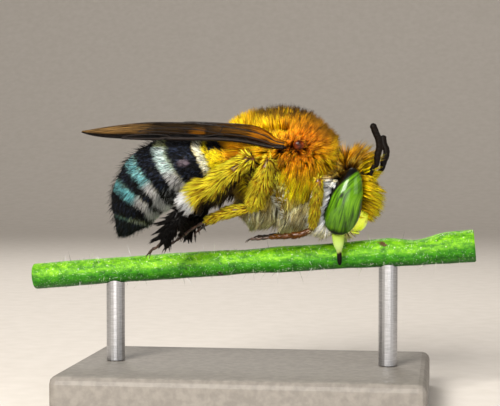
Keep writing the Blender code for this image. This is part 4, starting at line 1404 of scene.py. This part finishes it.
# foot horn: thin and half glossy, mottled dark and warm brown
foot_horn = mottled("foot_horn", 0.42, 5200.0, 4.0, [(0.35, "#0c0603"), (0.65, "#44240a")],
                    Coat_Weight=0.12, Coat_Roughness=0.15)
TOE_JOINTS = 4
TOE_STEPS = 7
CLAW_LENGTH = 0.26
for hand in SIDES:
    for leg in LEG_SKIN:
        ankle = leg_lines[leg, "basitarsus", hand][-1]
        line = node_line(f"{leg}leg_tarsus_{hand}", ankle, 4)
        line[-1] -= (line[-1] - line[-2]) * 0.25
        share = np.linspace(0.0, 1.0, TOE_JOINTS * TOE_STEPS + 1)
        within = (share * TOE_JOINTS) % 1.0
        girth = 0.045 + 0.040 * within**0.8 * (1.0 - 0.3 * share)
        girth[-1] = 0.05
        path = smooth_path(np.vstack([ankle, line]), len(share))
        foot = [tube(f"{leg}_toes_{hand}", path, girth, sides=5)]
        heading = unit((line[-1] - line[-2])[None])[0]
        spread = np.cross(heading, (0.0, 0.0, 1.0))
        for side in (-1.0, 1.0):
            steps = np.linspace(0.0, 1.0, 9)[:, None]
            hook = line[-1] + heading * CLAW_LENGTH * steps + spread * side * 0.10 * np.sin(steps * 2.2)
            hook = hook - np.array((0.0, 0.0, 0.16)) * steps**2
            foot.append(tube(f"{leg}_claw_{hand}", hook, np.linspace(0.042, 0.008, 9), sides=3))
        foot = joined(f"{leg}leg_foot_{hand}", foot)
        finish(foot, foot_horn, "foot_horn", f"{leg}leg_tarsus_{hand}")


# ------------------------------------------------------------------ stem
# A cut length of live green plant stem: juicy, faintly ribbed and mottled, covered in short white down with
# a few long hairs, its two ends cut square to show the pale pith.

stem_points = np.unique(points_of(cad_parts["perch_stem"]).round(7), axis=0) / MM
stem_rows = []  # station, height of the middle, radius
for station in np.unique(stem_points[:, 0].round(2)):
    ring = stem_points[np.abs(stem_points[:, 0] - station) < 0.02]
    stem_rows.append((station, (ring[:, 2].min() + ring[:, 2].max()) / 2, np.ptp(ring[:, 2]) / 2))
STEM_STEPS = 220
stem_line = smooth_path(stem_rows, STEM_STEPS)
path = np.stack([stem_line[:, 0], np.zeros(STEM_STEPS), stem_line[:, 1]], axis=1)
girth = stem_line[:, 2] * (0.985 + 0.012 * np.sin(path[:, 0] * 1.3) + 0.006 * np.sin(path[:, 0] * 5.1 + 1.0))
girth[[0, -1]] *= 0.94
stalk = tube("green_stem", path, girth, sides=14)
spots = points_of(stalk)
middle = np.interp(spots[:, 0], path[:, 0], path[:, 2])
turn = np.arctan2(spots[:, 1], spots[:, 2] - middle)
rib = 1.0 + 0.010 * np.sin(turn * 9.0 + spots[:, 0] * 0.25) + 0.006 * np.sin(turn * 5.0 + spots[:, 0] * 1.7)
spots[:, 1] *= rib
spots[:, 2] = middle + (spots[:, 2] - middle) * rib
put_points(stalk, spots)
STEM_LENGTH = 20.0
add_plan(stalk, "stem_round", spots[:, 0] / STEM_LENGTH + 0.5, 0.5 + 0.5 * np.cos(turn))
bpy.ops.object.shade_smooth_by_angle(angle=radians(40))

# live stem skin: waxy chlorophyll green with lighter flecks and brown scars
rind, tree, shader = new_material("green_stem_rind", 0.5, Subsurface_Weight=0.1, Subsurface_Scale=0.0004,
                                  Specular_IOR_Level=0.25)
place = node(tree, "TexCoord").outputs["Object"]
stretch = node(tree, "Mapping", Vector=place, Scale=(0.6, 1.0, 1.0))
mottle = node(tree, "TexNoise", Vector=stretch, Scale=4600.0, Detail=8.0, Roughness=0.78)
green = node(tree, "ValToRGB", Fac=mottle,
             stops=[(0.30, "#1c4400"), (0.44, "#448400"), (0.56, "#70b002"), (0.74, "#b0d830")])
flecks = node(tree, "TexVoronoi", Vector=place, Scale=4200.0)
fleck = node(tree, "ValToRGB", Fac=flecks, stops=[(0.10, "#e9f2c8"), (0.17, "#000000")])
dots = node(tree, "MixRGB", {"blend_type": "LIGHTEN"}, Color1=green, Color2=fleck, Fac=0.5)
scars = node(tree, "TexNoise", Vector=place, Scale=1100.0, Detail=6.0)
scar = node(tree, "ValToRGB", Fac=scars, stops=[(0.0, "#000000"), (0.66, "#000000"), (0.70, "#ffffff")])
# painted shade: the stem's underside darkened to a deeper green
shade = node(tree, "UVMap", {"uv_map": "stem_round"})
height = node(tree, "SeparateXYZ", Vector=shade)
underside_shade = node(tree, "ValToRGB", Fac=height.outputs["Y"],
            stops=[(0.05, "#54942c"), (0.42, "#88c458"), (0.6, "#ffffff")])
under = node(tree, "MixRGB", {"blend_type": "MULTIPLY"}, Color2=underside_shade, Fac=1.0,
             feeds=shader.inputs["Base Color"])
node(tree, "MixRGB", Fac=scar, Color1=dots, Color2=linear("#4a3414"), feeds=under.inputs["Color1"])
node(tree, "Bump", Height=mottle, Strength=0.8, Distance=0.00005, feeds=shader.inputs["Normal"])

# cut face: pale wet pith inside a green ring
pith, tree, shader = new_material("cut_stem_pith", 0.55)
place = node(tree, "TexCoord").outputs["Object"]
cells = node(tree, "TexVoronoi", Vector=place, Scale=9000.0)
node(tree, "ValToRGB", Fac=cells, stops=[(0.1, "#b9cf7c"), (0.7, "#e4ecc0")],
     feeds=shader.inputs["Base Color"])

CUT_FACE = 9.95  # the two ends of the stem lie beyond this
stalk.data.materials.append(rind)
stalk.data.materials.append(pith)
for face in stalk.data.polygons:
    face.material_index = int(abs(face.normal.x) > 0.9 and abs(face.center.x) > CUT_FACE)
to_metres(stalk)
fasten(stalk, "stem", "perch_stem")

# down: thin white hairs that stand all round the stem, one in fifty of them long
DOWN_HAIRS = 7000
spin = dice.uniform(0.0, 2.0 * pi, DOWN_HAIRS)
station = dice.uniform(-9.9, 9.9, DOWN_HAIRS)
middle = np.interp(station, path[:, 0], path[:, 2])
facing = np.stack([np.zeros(DOWN_HAIRS), np.sin(spin), np.cos(spin)], axis=1)
sunk = np.interp(station, path[:, 0], girth) * 0.97
roots = np.stack([station, np.zeros(DOWN_HAIRS), middle], axis=1) + facing * sunk[:, None]
lie = unit(facing + dice.normal(size=(DOWN_HAIRS, 3)) * 0.45)
length = dice.uniform(0.06, 0.16, DOWN_HAIRS)
long_ones = dice.random(DOWN_HAIRS) < 0.02
length[long_ones] = dice.uniform(0.3, 0.75, long_ones.sum())
white = hair_dye("#e6edd2", DOWN_HAIRS)
along = (station + STEM_LENGTH / 2) / STEM_LENGTH
chart = np.stack([0.01 + 0.98 * spin / (2 * pi), 0.01 + 0.98 * along], axis=1)
down = grow_coat("stem_down", roots, facing, lie, length, (white, white, white), chart, hairs=1,
                 spread=0.0, draw=0.0, width=0.011)
fasten(down, "stem")


# ------------------------------------------------------------------ stand
# A heavy flat plate with rounded edges, powder-coated a warm grey, and two turned steel rods whose cupped
# tops cradle the stem.

# powder coat: a matt skin with a faint orange-peel grit
powder = mottled("powder_coated_plate", 0.55, 3500.0, 3.0, [(0.35, "#77716a"), (0.65, "#857f77")],
                 relief=(0.5, 0.00003))
# brushed steel: fine turning lines round each rod
steel = mottled("brushed_steel", 0.32, 2500.0, 4.0, [(0.3, "#9c9c9e"), (0.7, "#c2c2c4")],
                relief=(0.3, 0.00001), stretch=(1.0, 1.0, 12.0), Metallic=1.0)
for name, surface in (("stand_base", powder), ("stand_rod_front", steel), ("stand_rod_back", steel)):
    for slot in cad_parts[name].material_slots:
        slot.material = surface
